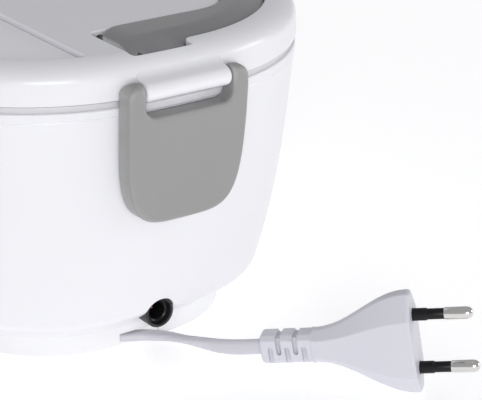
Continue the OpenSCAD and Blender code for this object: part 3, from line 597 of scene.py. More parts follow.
class Tree:
    """The node tree of one finish."""

    def __init__(self, name: str) -> None:
        """Start a material with an empty tree."""
        self.material = bpy.data.materials.new(name)
        self.material.use_nodes = True
        self.nodes = self.material.node_tree.nodes
        self.links = self.material.node_tree.links
        self.nodes.clear()

    @classmethod
    def around(cls, nodes: bpy.types.NodeTree) -> "Tree":
        """Wrap a node tree that is there already, such as the room's."""
        tree = cls.__new__(cls)
        tree.nodes, tree.links = nodes.nodes, nodes.links
        return tree

    def add(
        self, kind: str, settings: dict[str, Any] | None = None, sockets: dict[Any, Feed] | None = None
    ) -> bpy.types.Node:
        """Add a node.

        Args:
            kind: The node's type.
            settings: Its properties, which are set first; "stops" sets the places and colours of a ramp.
            sockets: A value, colour or link for each input, by name or number.

        Returns:
            The node.
        """
        node = self.nodes.new(kind)
        for key, setting in (settings or {}).items():
            if key == "stops":
                self._stops(node.color_ramp, setting)
            else:
                setattr(node, key, setting)
        for key, feed in (sockets or {}).items():
            socket = node.inputs[key]
            if isinstance(feed, Value):
                self.links.new(feed.socket, socket)
            elif isinstance(feed, bpy.types.NodeSocket):
                self.links.new(feed, socket)
            else:
                socket.default_value = feed
        return node

    def _stops(self, ramp: bpy.types.ColorRamp, stops: Sequence[tuple[float, Colour]]) -> None:
        """Set the stops of a ramp."""
        while len(ramp.elements) > 1:
            ramp.elements.remove(ramp.elements[-1])
        ramp.elements[0].position, ramp.elements[0].color = stops[0][0], (*stops[0][1], 1.0)
        for place, colour in stops[1:]:
            ramp.elements.new(place).color = (*colour, 1.0)

    def value(self, node: bpy.types.Node, output: str | int = 0) -> Value:
        """Wrap an output of a node."""
        return Value(self, node.outputs[output])

    def places(self, stretch: Point = (1.0, 1.0, 1.0)) -> bpy.types.NodeSocket:
        """Return the place on the object in metres, stretched along its axes."""
        here = self.add("ShaderNodeTexCoord").outputs["Object"]
        if stretch == (1.0, 1.0, 1.0):
            return here
        return self.add("ShaderNodeMapping", None, {"Vector": here, "Scale": stretch}).outputs[0]

    def noise(self, size: float, detail: float = 2.0, stretch: Point = (1.0, 1.0, 1.0)) -> Value:
        """Make noise from nought to one whose patches are about a size in millimetres."""
        node = self.add("ShaderNodeTexNoise", None, {
            "Vector": self.places(stretch), "Scale": 1000.0 / size, "Detail": detail, "Roughness": 0.55})
        return self.value(node, "Fac")

    def between(self, low: Colour | bpy.types.NodeSocket, high: Colour, share: Feed) -> bpy.types.NodeSocket:
        """Mix two colours, the first of which may be a link, by a share."""
        first = low if isinstance(low, bpy.types.NodeSocket) else (*low, 1.0)
        node = self.add("ShaderNodeMix", {"data_type": "RGBA"}, {"Factor": share, 6: first, 7: (*high, 1.0)})
        return node.outputs[2]

    def bump(self, height: Feed, depth: float, below: bpy.types.NodeSocket | None = None) -> bpy.types.NodeSocket:
        """Turn a height from nought to one into a bumped normal, with its depth in millimetres."""
        sockets = {"Height": height, "Distance": depth * MM, "Strength": 1.0}
        if below is not None:
            sockets["Normal"] = below
        return self.add("ShaderNodeBump", None, sockets).outputs[0]

    def surface(self, sockets: dict[str, Feed]) -> bpy.types.Material:
        """Close the tree with a Principled shader and return its material."""
        shader = self.add("ShaderNodeBsdfPrincipled", None, sockets)
        self.add("ShaderNodeOutputMaterial", None, {"Surface": shader.outputs[0]})
        return self.material


def shade(colour: Colour, factor: float) -> Colour:
    """Darken or lighten a colour."""
    return tuple(min(1.0, channel * factor) for channel in colour)


@dataclass(frozen=True)
class Moulded:
    """Injection moulded plastic: a skin that waves faintly, with a fine grain and a few hairlines, and a painted
    highlight: a lighter colour on sharp edges.
    """

    name: str
    colour: Colour
    roughness: float = 0.3
    drift: float = 0.03
    grain: float = 0.35
    grain_depth: float = 0.004
    wave: float = 14.0
    wave_depth: float = 0.02
    coat: float = 0.0
    hairline: float = 0.04
    painted_edge_highlight: float = 0.0
    ridge_start: float = 0.515
    ridge_gain: float = 14.0
    specular: float = 0.5

    def material(self) -> bpy.types.Material:
        """Build the material."""
        tree = Tree(self.name)
        patches = tree.noise(38.0, 3.0)
        specks = tree.noise(1.3, 2.0)
        cloud = (patches * 0.75 + specks * 0.25).clipped()
        streaks = tree.noise(0.9, 3.0, (0.06, 1.0, 1.0)) ** 6.0
        normal = tree.bump(tree.noise(self.wave, 1.0), self.wave_depth)
        normal = tree.bump(tree.noise(self.grain, 2.0), self.grain_depth, normal)
        tone = tree.between(shade(self.colour, 1 - self.drift), shade(self.colour, 1 + self.drift), cloud)
        # Painted highlight: the colour is lightened where the surface bends sharply (pointiness), standing in for light
        # caught by rounded edges.
        if self.painted_edge_highlight:
            bend = tree.value(tree.add("ShaderNodeNewGeometry"), "Pointiness")
            painted_highlight_mask = ((bend - self.ridge_start) * self.ridge_gain).clipped()
            tone = tree.between(tone, shade(self.colour, 1 + self.painted_edge_highlight), painted_highlight_mask)
        return tree.surface({
            "Base Color": tone,
            "Roughness": (self.roughness * (0.85 + patches * 0.3) + streaks * self.hairline).clipped(),
            "Normal": normal,
            "Specular IOR Level": self.specular,
            "Coat Weight": self.coat,
            "Coat Roughness": 0.12,
        })


@dataclass(frozen=True)
class Sheet:
    """Sheet or bar metal, with a drawn or brushed grain along one direction."""

    name: str
    colour: Colour
    roughness: float = 0.3
    stretch: Point = (1.0, 0.03, 1.0)
    grain: float = 0.5
    depth: float = 0.004
    blotch: float = 0.08

    def material(self) -> bpy.types.Material:
        """Build the material."""
        tree = Tree(self.name)
        lines = tree.noise(self.grain, 4.0, self.stretch)
        blotches = tree.noise(17.0, 3.0)
        tint = (lines * 0.6 + blotches * 0.4).clipped()
        return tree.surface({
            "Base Color": tree.between(shade(self.colour, 1 - self.blotch), shade(self.colour, 1 + self.blotch), tint),
            "Metallic": 1.0,
            "Roughness": (self.roughness * (0.7 + lines * 0.6)).clipped(),
            "Normal": tree.bump(lines, self.depth),
        })


@dataclass(frozen=True)
class Casting:
    """Cast metal with a grainy skin."""

    name: str
    colour: Colour
    roughness: float = 0.45
    grain: float = 0.8
    depth: float = 0.03

    def material(self) -> bpy.types.Material:
        """Build the material."""
        tree = Tree(self.name)
        cells = tree.add("ShaderNodeTexVoronoi", {"feature": "F1"}, {
            "Vector": tree.places(), "Scale": 1000.0 / self.grain})
        pits = tree.value(cells, "Distance")
        blotches = tree.noise(11.0, 3.0)
        return tree.surface({
            "Base Color": tree.between(shade(self.colour, 0.88), shade(self.colour, 1.08), blotches),
            "Metallic": 1.0,
            "Roughness": (self.roughness * (0.8 + blotches * 0.4)).clipped(),
            "Normal": tree.bump(pits, self.depth),
        })


@dataclass(frozen=True)
class Fibre:
    """Felted or woven mat: crossing threads with loose fibres over them."""

    name: str
    colour: Colour
    thread: float = 0.9
    depth: float = 0.15
    roughness: float = 0.85
    metal: float = 0.0

    def material(self) -> bpy.types.Material:
        """Build the material."""
        tree = Tree(self.name)
        rows = tree.noise(self.thread, 2.0, (0.12, 1.0, 1.0))
        columns = tree.noise(self.thread, 2.0, (1.0, 0.12, 1.0))
        weave = (rows * 0.5 + columns * 0.5).clipped()
        return tree.surface({
            "Base Color": tree.between(shade(self.colour, 0.78), shade(self.colour, 1.12), weave),
            "Roughness": (self.roughness * (0.9 + weave * 0.2)).clipped(),
            "Metallic": self.metal,
            "Normal": tree.bump(weave, self.depth),
        })


@dataclass(frozen=True)
class Rubbery:
    """Rubber, silicone or soft vinyl: a matt skin with faint bloom and fine pores."""

    name: str
    colour: Colour
    roughness: float = 0.5
    bloom: float = 0.1
    pore: float = 0.6
    depth: float = 0.012
    sheen: float = 0.0

    def material(self) -> bpy.types.Material:
        """Build the material."""
        tree = Tree(self.name)
        bloom = tree.noise(9.0, 4.0)
        pores = tree.noise(self.pore, 2.0)
        return tree.surface({
            "Base Color": tree.between(shade(self.colour, 1 - self.bloom), shade(self.colour, 1 + self.bloom), bloom),
            "Roughness": (self.roughness * (0.85 + bloom * 0.3)).clipped(),
            "Normal": tree.bump(pores, self.depth),
            "Sheen Weight": self.sheen,
        })


@dataclass(frozen=True)
class Palette:
    """Every finish of the box, by the slot of the record that it belongs to."""

    finishes: tuple[Any, ...] = (
        Moulded("white_shell", (0.80, 0.80, 0.83), 0.30, 0.012, coat=0.15),
        Moulded("white_base", (0.80, 0.80, 0.82), 0.34, 0.012),
        Moulded("liner_plastic", (0.63, 0.63, 0.65), 0.38, 0.02),
        Moulded("lid_inner", (0.72, 0.72, 0.73), 0.36, 0.02),
        # The handle and the latches carry a painted highlight along their rounded edges.
        Moulded("handle_grey", (0.20, 0.20, 0.205), 0.2, 0.03, coat=0.5, hairline=0.08, painted_edge_highlight=0.5),
        Moulded(
            "latch_grey", (0.29, 0.29, 0.288), 0.42, 0.03, grain=0.28, grain_depth=0.008, painted_edge_highlight=0.45),
        Moulded("cover_grey", (0.88, 0.88, 0.91), 0.36, 0.015),
        Moulded("black_plastic", (0.008, 0.008, 0.009), 0.3, 0.1, specular=0.25),
        Moulded("phenolic", (0.30, 0.17, 0.08), 0.5, 0.08),
        Moulded("fuse_case", (0.62, 0.58, 0.48), 0.45, 0.05),
        Moulded("white_vinyl", (0.64, 0.64, 0.70), 0.36, 0.015, grain=0.5, grain_depth=0.006),
        Casting("plate_aluminium", (0.62, 0.62, 0.63)),
        Fibre("heater_foil", (0.55, 0.47, 0.30), 1.6, 0.05, 0.4, 0.6),
        Fibre("mineral_pad", (0.74, 0.71, 0.63)),
        Sheet("zinc_steel", (0.60, 0.61, 0.60), 0.36, (1.0, 1.0, 1.0), 4.0, 0.006, 0.14),
        Sheet("nickel", (0.72, 0.71, 0.69), 0.16, (1.0, 1.0, 1.0), 1.2, 0.002, 0.04),
        # Near-black steel for the handle's pins: painted shade, so that their ends in the gaps by the handle's hubs
        # show no glint.
        Sheet("painted_shade_steel", (0.09, 0.09, 0.095), 0.4, (1.0, 1.0, 1.0), 1.2, 0.002, 0.04),
        Sheet("brass_contact", (0.42, 0.22, 0.09), 0.34, (1.0, 0.1, 1.0), 0.4, 0.002, 0.06),
        Sheet("tray_steel", (0.66, 0.66, 0.67), 0.26, (1.0, 0.02, 1.0), 0.6, 0.003, 0.05),
        Sheet("spoon_steel", (0.70, 0.70, 0.71), 0.14, (1.0, 0.05, 1.0), 0.5, 0.001, 0.04),
        Fibre("wire_sleeve", (0.66, 0.62, 0.52), 0.5, 0.06, 0.6),
        Rubbery("black_rubber", (0.016, 0.016, 0.017), 0.42, 0.3),
        Rubbery("silicone", (0.62, 0.63, 0.65), 0.5, 0.04, sheen=0.1),
        Rubbery("cord_vinyl", (0.60, 0.59, 0.64), 0.42, 0.03, 0.9, 0.008),
    )

    def materials(self) -> dict[str, bpy.types.Material]:
        """Build every material, by slot."""
        return {finish.name: finish.material() for finish in self.finishes}


# ---- Studio ----


@dataclass
class Lamp:
    """A soft rectangular lamp that looks at a spot."""

    name: str
    place: Point
    aim: Point
    size: tuple[float, float]
    power: float
    colour: Colour = (1.0, 1.0, 1.0)

    def build(self) -> None:
        """Hang the lamp."""
        light = bpy.data.lights.new(self.name, "AREA")
        light.shape = "RECTANGLE"
        light.size, light.size_y = self.size
        light.energy = self.power
        light.color = self.colour
        lamp = bpy.data.objects.new(self.name, light)
        lamp.location = self.place
        lamp.rotation_euler = (Vector(self.aim) - Vector(self.place)).to_track_quat("-Z", "Y").to_euler()
        bpy.context.scene.collection.objects.link(lamp)


@dataclass
class Studio:
    """Camera, floor, room and lamps."""

    eye: Point = (-0.3401, -0.6392, 0.3087)
    back: Point = (-0.530, -0.762, 0.3725)
    lens: float = 2146.18 / 482 * 36
    room: tuple[tuple[float, Colour], ...] = (
        (0.0, (0.50, 0.50, 0.505)), (0.28, (0.44, 0.44, 0.445)), (0.55, (0.43, 0.43, 0.44)), (1.0, (0.44, 0.44, 0.45)))
    room_strength: float = 1.0
    floor_colour: Colour = (0.86, 0.86, 0.87)
    floor_glow: float = 0.44
    lamps: list[Lamp] = field(default_factory=lambda: [
        Lamp("key_lamp", (-1.2, -2.4, 0.85), (0.0, 0.0, 0.05), (1.2, 0.9), 27.0),
        Lamp("side_lamp", (2.2, -1.2, 0.7), (0.0, 0.0, 0.05), (1.0, 0.8), 12.0),
        Lamp("back_lamp", (-0.6, 2.2, 1.5), (0.0, 0.0, 0.05), (1.8, 0.8), 6.0),
    ])

    def camera(self) -> None:
        """Set up the camera."""
        data = bpy.data.cameras.new("camera")
        data.sensor_width = 36.0
        data.lens = self.lens
        data.clip_start = 0.01
        data.clip_end = 50.0
        camera = bpy.data.objects.new("camera", data)
        back = Vector(self.back).normalized()
        right = Vector((0.0, 0.0, 1.0)).cross(back).normalized()
        up = back.cross(right)
        turn = Matrix((right, up, back)).transposed().to_4x4()
        camera.matrix_world = Matrix.Translation(self.eye) @ turn
        bpy.context.scene.collection.objects.link(camera)
        bpy.context.scene.camera = camera

    def floor(self) -> None:
        """Lay a wide plain floor that glows a little, as a light table does."""
        tree = Tree("floor")
        tone = tree.noise(400.0, 2.0)
        tree.surface({
            "Base Color": tree.between(shade(self.floor_colour, 0.995), self.floor_colour, tone),
            "Roughness": 0.7,
            "Emission Color": (1.0, 1.0, 1.0, 1.0),
            "Emission Strength": self.floor_glow,
        })
        sheet = Form()
        sheet.ring([(-6000.0, -6000.0, 0.0), (6000.0, -6000.0, 0.0), (6000.0, 6000.0, 0.0), (-6000.0, 6000.0, 0.0)])
        sheet.faces.append((0, 1, 2, 3))
        floor = sheet.build("floor")
        floor.data.materials.append(tree.material)

    def sky(self, nodes: bpy.types.NodeTree) -> None:
        """Light the walls of the room more than its ceiling."""
        tree = Tree.around(nodes)
        place = tree.add("ShaderNodeTexCoord").outputs["Generated"]
        height = tree.add("ShaderNodeSeparateXYZ", sockets={0: place}).outputs["Z"]
        ramp = tree.add("ShaderNodeValToRGB", {"stops": self.room}, {0: height})
        glow = nodes.nodes["Background"]
        glow.inputs["Strength"].default_value = self.room_strength
        tree.links.new(ramp.outputs[0], glow.inputs["Color"])

    def light(self) -> None:
        """Light the room and hang the lamps."""
        scene = bpy.context.scene
        scene.view_settings.view_transform = "Standard"
        scene.view_settings.look = "None"
        world = bpy.data.worlds.new("room")
        world.use_nodes = True
        self.sky(world.node_tree)
        scene.world = world
        for lamp in self.lamps:
            lamp.build()


# ---- Dressing ----


class Dresser:
    """Gives pieces their finish, their body and the solids that they stand for."""

    def __init__(self, frame: Frame) -> None:
        """Take the frame's solids and build the finishes."""
        self.nodes = frame["nodes"]
        self.materials = Palette().materials()

    def dress(self, piece: bpy.types.Object, slot: str, body: str, *nodes: str) -> bpy.types.Object:
        """Finish a new piece.

        Args:
            piece: The object.
            slot: The record's material slot.
            body: The body that it rides on.
            nodes: The solids that it stands for.

        Returns:
            The same object.
        """
        piece.data.materials.clear()
        piece.data.materials.append(self.materials[slot])
        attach(piece, body)
        if nodes:
            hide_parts(*nodes)
        LOG.info("%s rides on %s and stands for %s", piece.name, body, ", ".join(nodes) or "itself")
        return piece

    def keep(self, node: str, slot: str, edge: float = 0.25) -> None:
        """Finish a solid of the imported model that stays, with its edges eased.

        Args:
            node: The solid's name.
            slot: The record's material slot.
            edge: Width of the eased edges in millimetres.
        """
        solid = self.nodes[node]
        solid.data.materials.clear()
        solid.data.materials.append(self.materials[slot])
        weld = solid.modifiers.new("weld", "WELD")
        weld.merge_threshold = 2e-6
        bevel = solid.modifiers.new("edge", "BEVEL")
        bevel.width = edge * MM
        bevel.segments = 2
        bevel.limit_method = "ANGLE"
        bevel.angle_limit = math.radians(35)
        normals = solid.modifiers.new("normals", "WEIGHTED_NORMAL")
        normals.keep_sharp = True
        solid.data.shade_smooth()
        LOG.info("%s keeps its solid", node)


# ---- Base ----


@dataclass
class Shell:
    """The white outer body: a draughted wall on a coned knee, with a pocket for each latch's hook."""

    rim: float = 93.3
    rim_inset: float = 0.4
    knee: float = 16.0
    knee_inset: float = 13.7
    foot: float = 7.5
    foot_inset: float = 26.8
    wall: float = 2.4
    parting: float = 10.3
    floor: float = 12.3
    floor_inset: float = 58.0
    straight_share: float = 0.58
    band: float = 2.7
    groove: float = 0.3
    pocket_half: float = 15.3
    pocket_back: float = 115.9
    pocket_bottom: float = 86.9
    pocket_top: float = 90.3
    boss_radius: float = 3.4
    boss_top: float = 13.9
    screw_radius: float = 1.55
    screws: tuple[Spot, ...] = ((28, 38), (28, -38), (-28, 38), (-28, -38), (0, 66), (0, -66))

    def wall_inset(self, z: float) -> float:
        """Return the inset of the side wall's outside at a height above the knee."""
        h = (self.rim - z) / (self.rim - self.knee)
        return self.rim_inset + (self.knee_inset - self.rim_inset) * (
            self.straight_share * h + (1 - self.straight_share) * h**3)

    def cone_inset(self, z: float) -> float:
        """Return the inset of the coned underside at a height below the knee."""
        return self.knee_inset + (self.foot_inset - self.knee_inset) * (self.knee - z) / (self.knee - self.foot)

    def pocket(self, side: int) -> Form:
        """Draw the pocket in one end of the body that takes a latch's hook; side is -1 at the front."""
        low, high = sorted((side * self.pocket_back, side * 130.0))
        return cuboid((-self.pocket_half, low, self.pocket_bottom), (self.pocket_half, high, self.pocket_top))

    def profile(self) -> list[Spot]:
        """Draw the section of the wall and floor, as (inset, height) once round."""
        heights = [self.knee + (self.rim - 0.5 - self.knee) * i / 26 for i in range(27)]
        outer = [(self.cone_inset(self.parting) + 0.25, self.parting),
                 (self.cone_inset(self.parting + 0.25), self.parting + 0.25)]
        knee = []
        for share in (-1.0, -0.6, -0.25, 0.0, 0.25, 0.6, 1.0):
            z = self.knee + 1.6 * share
            straight = self.cone_inset(z) if z < self.knee else self.wall_inset(z)
            knee.append((straight + 0.42 * (1 - abs(share)) ** 2, z))
        walls = [(self.wall_inset(z), z) for z in heights if z > self.knee + 1.8]
        band = self.rim - self.band
        walls = [spot for spot in walls if spot[1] < band - 1.0]
        groove = self.wall_inset(band) + self.groove
        walls += [(self.wall_inset(band - 0.6), band - 0.6), (groove - 0.08, band - 0.35), (groove, band - 0.2),
                  (groove - 0.1, band - 0.05), (self.rim_inset + 0.12, band + 0.12), (self.rim_inset, band + 0.4)]
        inset = self.rim_inset
        rim = [(inset, self.rim - 0.4), (inset + 0.12, self.rim - 0.1), (inset + 0.4, self.rim)]
        inner = [(self.rim_inset + self.wall, self.rim)]
        inner += [(self.wall_inset(z) + self.wall, z) for z in reversed(heights[1:-1:3])]
        inner += [(self.knee_inset + self.wall, self.knee + 1.2), (self.cone_inset(self.floor) + self.wall, self.floor),
                  (self.floor_inset, self.floor), (self.floor_inset, self.parting)]
        return outer + knee + walls + rim + inner

    def build(self) -> bpy.types.Object:
        """Build the outer body."""
        body = Solid(through_levels(self.profile(), hoop=True))
        for spot in self.screws:
            body = body + Solid(prism(circle(spot, self.boss_radius, 24), Axis.Z, self.parting, self.boss_top))
        for spot in self.screws:
            body = body - Solid(prism(circle(spot, self.screw_radius, 20), Axis.Z, 9.0, 20.0))
        for side in (-1, 1):
            body = body - Solid(self.pocket(side))
        body = body - Solid(Jack().bushing_cut())
        body = body - Solid(Gland().window(2.0, 9.3, 13.3))
        return soften(body.named("body_shell"), 0.22, 2, 36)


@dataclass
class BottomCover:
    """The white bottom cover: a coned plate on a foot ring, with the lead's store inside the ring."""

    shell: Shell = field(default_factory=Shell)
    foot_wall: float = 2.6
    plate: float = 2.0
    step: float = 0.5
    notch_half: float = 7.5
    notch_flare: float = 5.0
    notch_top: float = 4.2
    hub_inset: float = 43.0
    hub_wall: float = 2.0
    tab_inset: float = 34.9
    tab_top: float = 4.3
    tab_bottom: float = 3.0
    tab_width: float = 12.0

    def tabs(self) -> list[Form]:
        """Draw the blocks that say where the holding tabs of the store are."""
        half, far = self.tab_width / 2, 200.0
        blocks = [cuboid((-far, y - half, 0.0), (-2.0, y + half, 8.3)) for y in (-30.0, 30.0)]
        blocks.append(cuboid((2.0, 30 - half, 0.0), (far, 30 + half, 8.3)))
        blocks.append(cuboid((-half, 2.0, 0.0), (half, far, 8.3)))
        return blocks

    def notch(self) -> Form:
        """Draw the notch that lets the lead out through the foot ring."""
        shell = self.shell
        inner = shell.foot_inset + self.foot_wall
        front = -OUTLINE.end_y(shell.foot_inset) - 1
        back = -OUTLINE.end_y(inner, self.notch_half) + 1
        flare = self.notch_half + self.notch_flare
        section = [(-self.notch_half, front), (self.notch_half, front), (self.notch_half, front + 1.8),
                   (flare, back), (-flare, back), (-self.notch_half, front + 1.8)]
        return prism(section, Axis.Z, -1.0, self.notch_top)

    def build(self) -> bpy.types.Object:
        """Build the bottom cover."""
        shell = self.shell
        inner = shell.foot_inset + self.foot_wall
        ceiling = shell.parting - self.plate
        edge = shell.cone_inset(shell.parting) + self.step
        foot = shell.foot_inset
        cover = Solid(through_levels([
            (inner, ceiling), (inner, 0.7), (inner - 0.5, 0.0), (foot + 0.6, 0.0), (foot + 0.18, 0.18), (foot, 0.6),
            (foot, shell.foot - 0.7), (foot - 0.2, shell.foot - 0.2), (foot - 0.75, shell.foot + 0.3),
            (edge + 0.25, shell.parting - 0.4), (edge, shell.parting - 0.15), (edge + 0.15, shell.parting)]))
        hub = self.hub_inset
        cover = cover + Solid(through_levels(
            [(hub, self.tab_bottom), (hub, ceiling + 1), (hub + self.hub_wall, ceiling + 1),
             (hub + self.hub_wall, self.tab_bottom)], hoop=True))
        for block in self.tabs():
            lip = Solid(through_levels(
                [(self.tab_inset, self.tab_bottom), (self.tab_inset, self.tab_top), (hub + 1, self.tab_top),
                 (hub + 1, self.tab_bottom)], hoop=True))
            cover = cover + (lip & Solid(block))
        for spot in shell.screws:
            cover = cover - Solid(prism(circle(spot, shell.screw_radius, 20), Axis.Z, ceiling - 1, ceiling + 4))
        cover = cover - Solid(Jack().bushing_cut())
        cover = cover - Solid(Gland().window(0.1, -1.0, shell.parting + 1))
        cover = cover - Solid(self.notch())
        return soften(cover.named("bottom_cover_shell"), 0.22, 2, 36)


@dataclass
class Jack:
    """The low voltage socket in the front of the base: a rubber bushing round a bored jack."""

    face: float = -104.2
    height: float = 15.1
    bushing: float = 5.3
    bushing_length: float = 10.2
    jack: float = 4.25
    jack_face: float = -102.6
    jack_length: float = 13.3
    bore: float = 2.85
    bore_depth: float = 9.0
    pin_radius: float = 0.9
    pin_set_back: float = 3.2

    def bushing_cut(self) -> Form:
        """Draw what the shells are cut by round the bushing and the jack."""
        gap = 0.05
        bush, jack = self.bushing + gap, self.jack + gap
        end = self.face + self.bushing_length + 0.3
        tail = self.face + 1.5 + self.jack_length + 3
        profile = [(bush, self.face - 6), (bush, end), (jack, end), (jack, tail)]
        return turned(profile, (0.0, self.height), Axis.Y, 56)

    def ring(self) -> bpy.types.Object:
        """Build the bushing with a rolled lip."""
        outer, inner, front = self.bushing, self.jack, self.face
        back = front + self.bushing_length
        profile = [(inner + 0.02, back), (inner + 0.02, front + 0.75)]
        profile += [(inner + 0.45 - 0.45 * math.cos(math.radians(a)), front + 0.45 - 0.45 * math.sin(math.radians(a)))
                    for a in (20, 45, 70, 90)]
        profile += [(outer - 0.5 + 0.5 * math.sin(math.radians(a)), front + 0.5 - 0.5 * math.cos(math.radians(a)))
                    for a in (10, 40, 65, 90)]
        profile += [(outer, back)]
        rings = [[Axis.Y.place(a, b, along) for a, b in circle((0.0, self.height), radius, 56)]
                 for radius, along in profile]
        piece = Form().loft(rings, hoop=True).build("jack_bushing")
        smooth(piece, 50)
        return piece

    def barrel(self) -> bpy.types.Object:
        """Build the jack with its stepped bore."""
        front, back = self.jack_face, self.jack_face + self.jack_length
        jack, bore = self.jack, self.bore
        deep = front + self.bore_depth
        profile = [(0.02, back), (jack - 0.3, back), (jack, back - 0.3), (jack, front + 0.25), (jack - 0.25, front),
                   (bore + 0.55, front), (bore + 0.1, front + 0.35), (bore, front + 0.6), (bore, deep), (0.02, deep)]
        piece = turned(profile, (0.0, self.height), Axis.Y, 56).build("jack_barrel")
        smooth(piece, 30)
        return piece

    def pin(self) -> bpy.types.Object:
        """Build the centre pin with its domed end."""
        front, r = self.jack_face + self.pin_set_back, self.pin_radius
        back = self.jack_face + self.bore_depth + 1.5
        turns = [math.radians(a) for a in (0, 20, 40, 60, 75, 90)]
        dome = [(max(0.02, r * math.sin(a)), front + 1.2 * (1 - math.cos(a))) for a in turns]
        piece = turned(dome + [(r, back), (0.02, back)], (0.0, self.height), Axis.Y, 32).build("jack_pin")
        smooth(piece, 50)
        return piece


@dataclass
class Gland:
    """The clamp through which the lead enters the base from its store."""

    x: float = 38.9
    y: float = -26.0
    size: Spot = (5.3, 12.0)

    def window(self, margin: float, low: float, high: float) -> Form:
        """Draw the gland's block, grown by a margin, between two heights."""
        half_x, half_y = self.size[0] / 2 + margin, self.size[1] / 2 + margin
        return cuboid((self.x - half_x, self.y - half_y, low), (self.x + half_x, self.y + half_y, high))


@dataclass
class Chamber:
    """The liner of the heated chamber, with the flange that shows as a band under the lid."""

    def build(self) -> bpy.types.Object:
        """Build the liner."""
        rim, top, floor = 93.3, 95.3, 25.6
        section: list[Spot] = [
            (1.3, rim), (1.3, rim + 0.5), (1.3, top - 0.6), (1.42, top - 0.2), (1.8, top),
            (7.4, top), (7.85, top - 0.25), (8.1, top - 0.7)]
        for i in range(1, 9):
            t = i / 8
            section.append((8.1 + (16.5 - 8.1) * t, top - 0.7 + (floor + 4 - top + 0.7) * t))
        section += [(17.1, floor + 2.2), (18.3, floor + 0.8), (20.0, floor), (38.1, floor), (38.1, floor - 1.6),
                    (19.5, floor - 1.6), (14.9, floor + 3.6), (6.4, rim)]
        piece = through_levels(section, hoop=True).build("chamber_liner_shell")
        smooth(piece, 38)
        return piece


@dataclass
class Tray:
    """The lift-out steel food tray with a rolled rim and a coved floor."""

    sheet: float = 0.8

    def build(self) -> bpy.types.Object:
        """Build the tray."""
        s, floor, seat = self.sheet, 27.1, 95.3
        outside: list[Spot] = [
            (24.0, floor), (22.2, floor + 0.25), (21.0, floor + 1), (20.3, floor + 2.3), (20.0, floor + 4)]
        quarters = (0.25, 0.5, 0.75, 1.0)
        outside += [(20.0 + (11.0 - 20.0) * t, floor + 4 + (seat - 0.8 - floor - 4) * t) for t in quarters]
        outside += [(10.7, seat - 0.25), (10.2, seat), (4.2, seat), (4.0, seat + 0.25)]
        inside: list[Spot] = [
            (4.0, seat + s - 0.25), (4.2, seat + s), (10.6, seat + s), (11.3, seat + s - 0.3), (11.8, seat - 0.4)]
        inside += [(11.8 + (20.8 - 11.8) * t, seat - 0.4 + (floor + 4.4 - seat + 0.4) * t) for t in quarters]
        inside += [(21.1, floor + 2.9), (21.8, floor + 1.8), (23.0, floor + 1.0), (24.6, floor + s)]
        piece = through_levels(outside + inside).build("food_tray_shell")
        smooth(piece, 45)
        return piece


# ---- Lid ----


@dataclass
class HandlePlan:
    """Plan of the U-shaped handle with a hinge block at each end."""

    inset: float = 10.8
    hub_inset: float = 5.8
    pivot_x: float = -9.5
    pivot_z: float = 105.1
    hub_radius: float = 3.7
    window_x: float = 45.0
    window_y: float = 86.6
    window_radius: float = 18.0
    hub_right: float = 7.6
    corner: float = 2.5

    def recess(self, grow: float) -> Plan:
        """Draw the recess for the handle, grown by a distance, anticlockwise from its front left corner."""
        left, right = self.pivot_x - self.hub_radius - grow, self.hub_right + grow
        hub, bow = self.hub_inset - grow, self.inset - grow
        x, y, r, c = self.window_x - grow, self.window_y - grow, self.window_radius, self.corner

        def front(inset: float, place: float) -> Spot:
            """Find the place on the front edge at an inset."""
            return place, -OUTLINE.end_y(inset, place)

        plan = round_corner((left, -y), front(hub, left), front(hub, left + 4), 1.6)
        plan += [front(hub, left + (right - left) * i / 8) for i in range(2, 7)]
        plan += round_corner(front(hub, right - 3), front(hub, right), front(bow, right), 1.2)
        plan += round_corner(front(hub, right), front(bow, right), front(bow, right + 3), 1.9)
        run = [p for p in OUTLINE.right_of(bow, right + 2.6)[1:-1]]
        plan += run
        plan += [(a, -b) for a, b in reversed(plan[:-len(run)])]
        inner = round_corner((left, y + 20), (left, y), (left + 20, y), c)
        inner += arc((x - r, y - r), r, 90, 0, 14)
        return plan + inner + [(a, -b) for a, b in reversed(inner)]


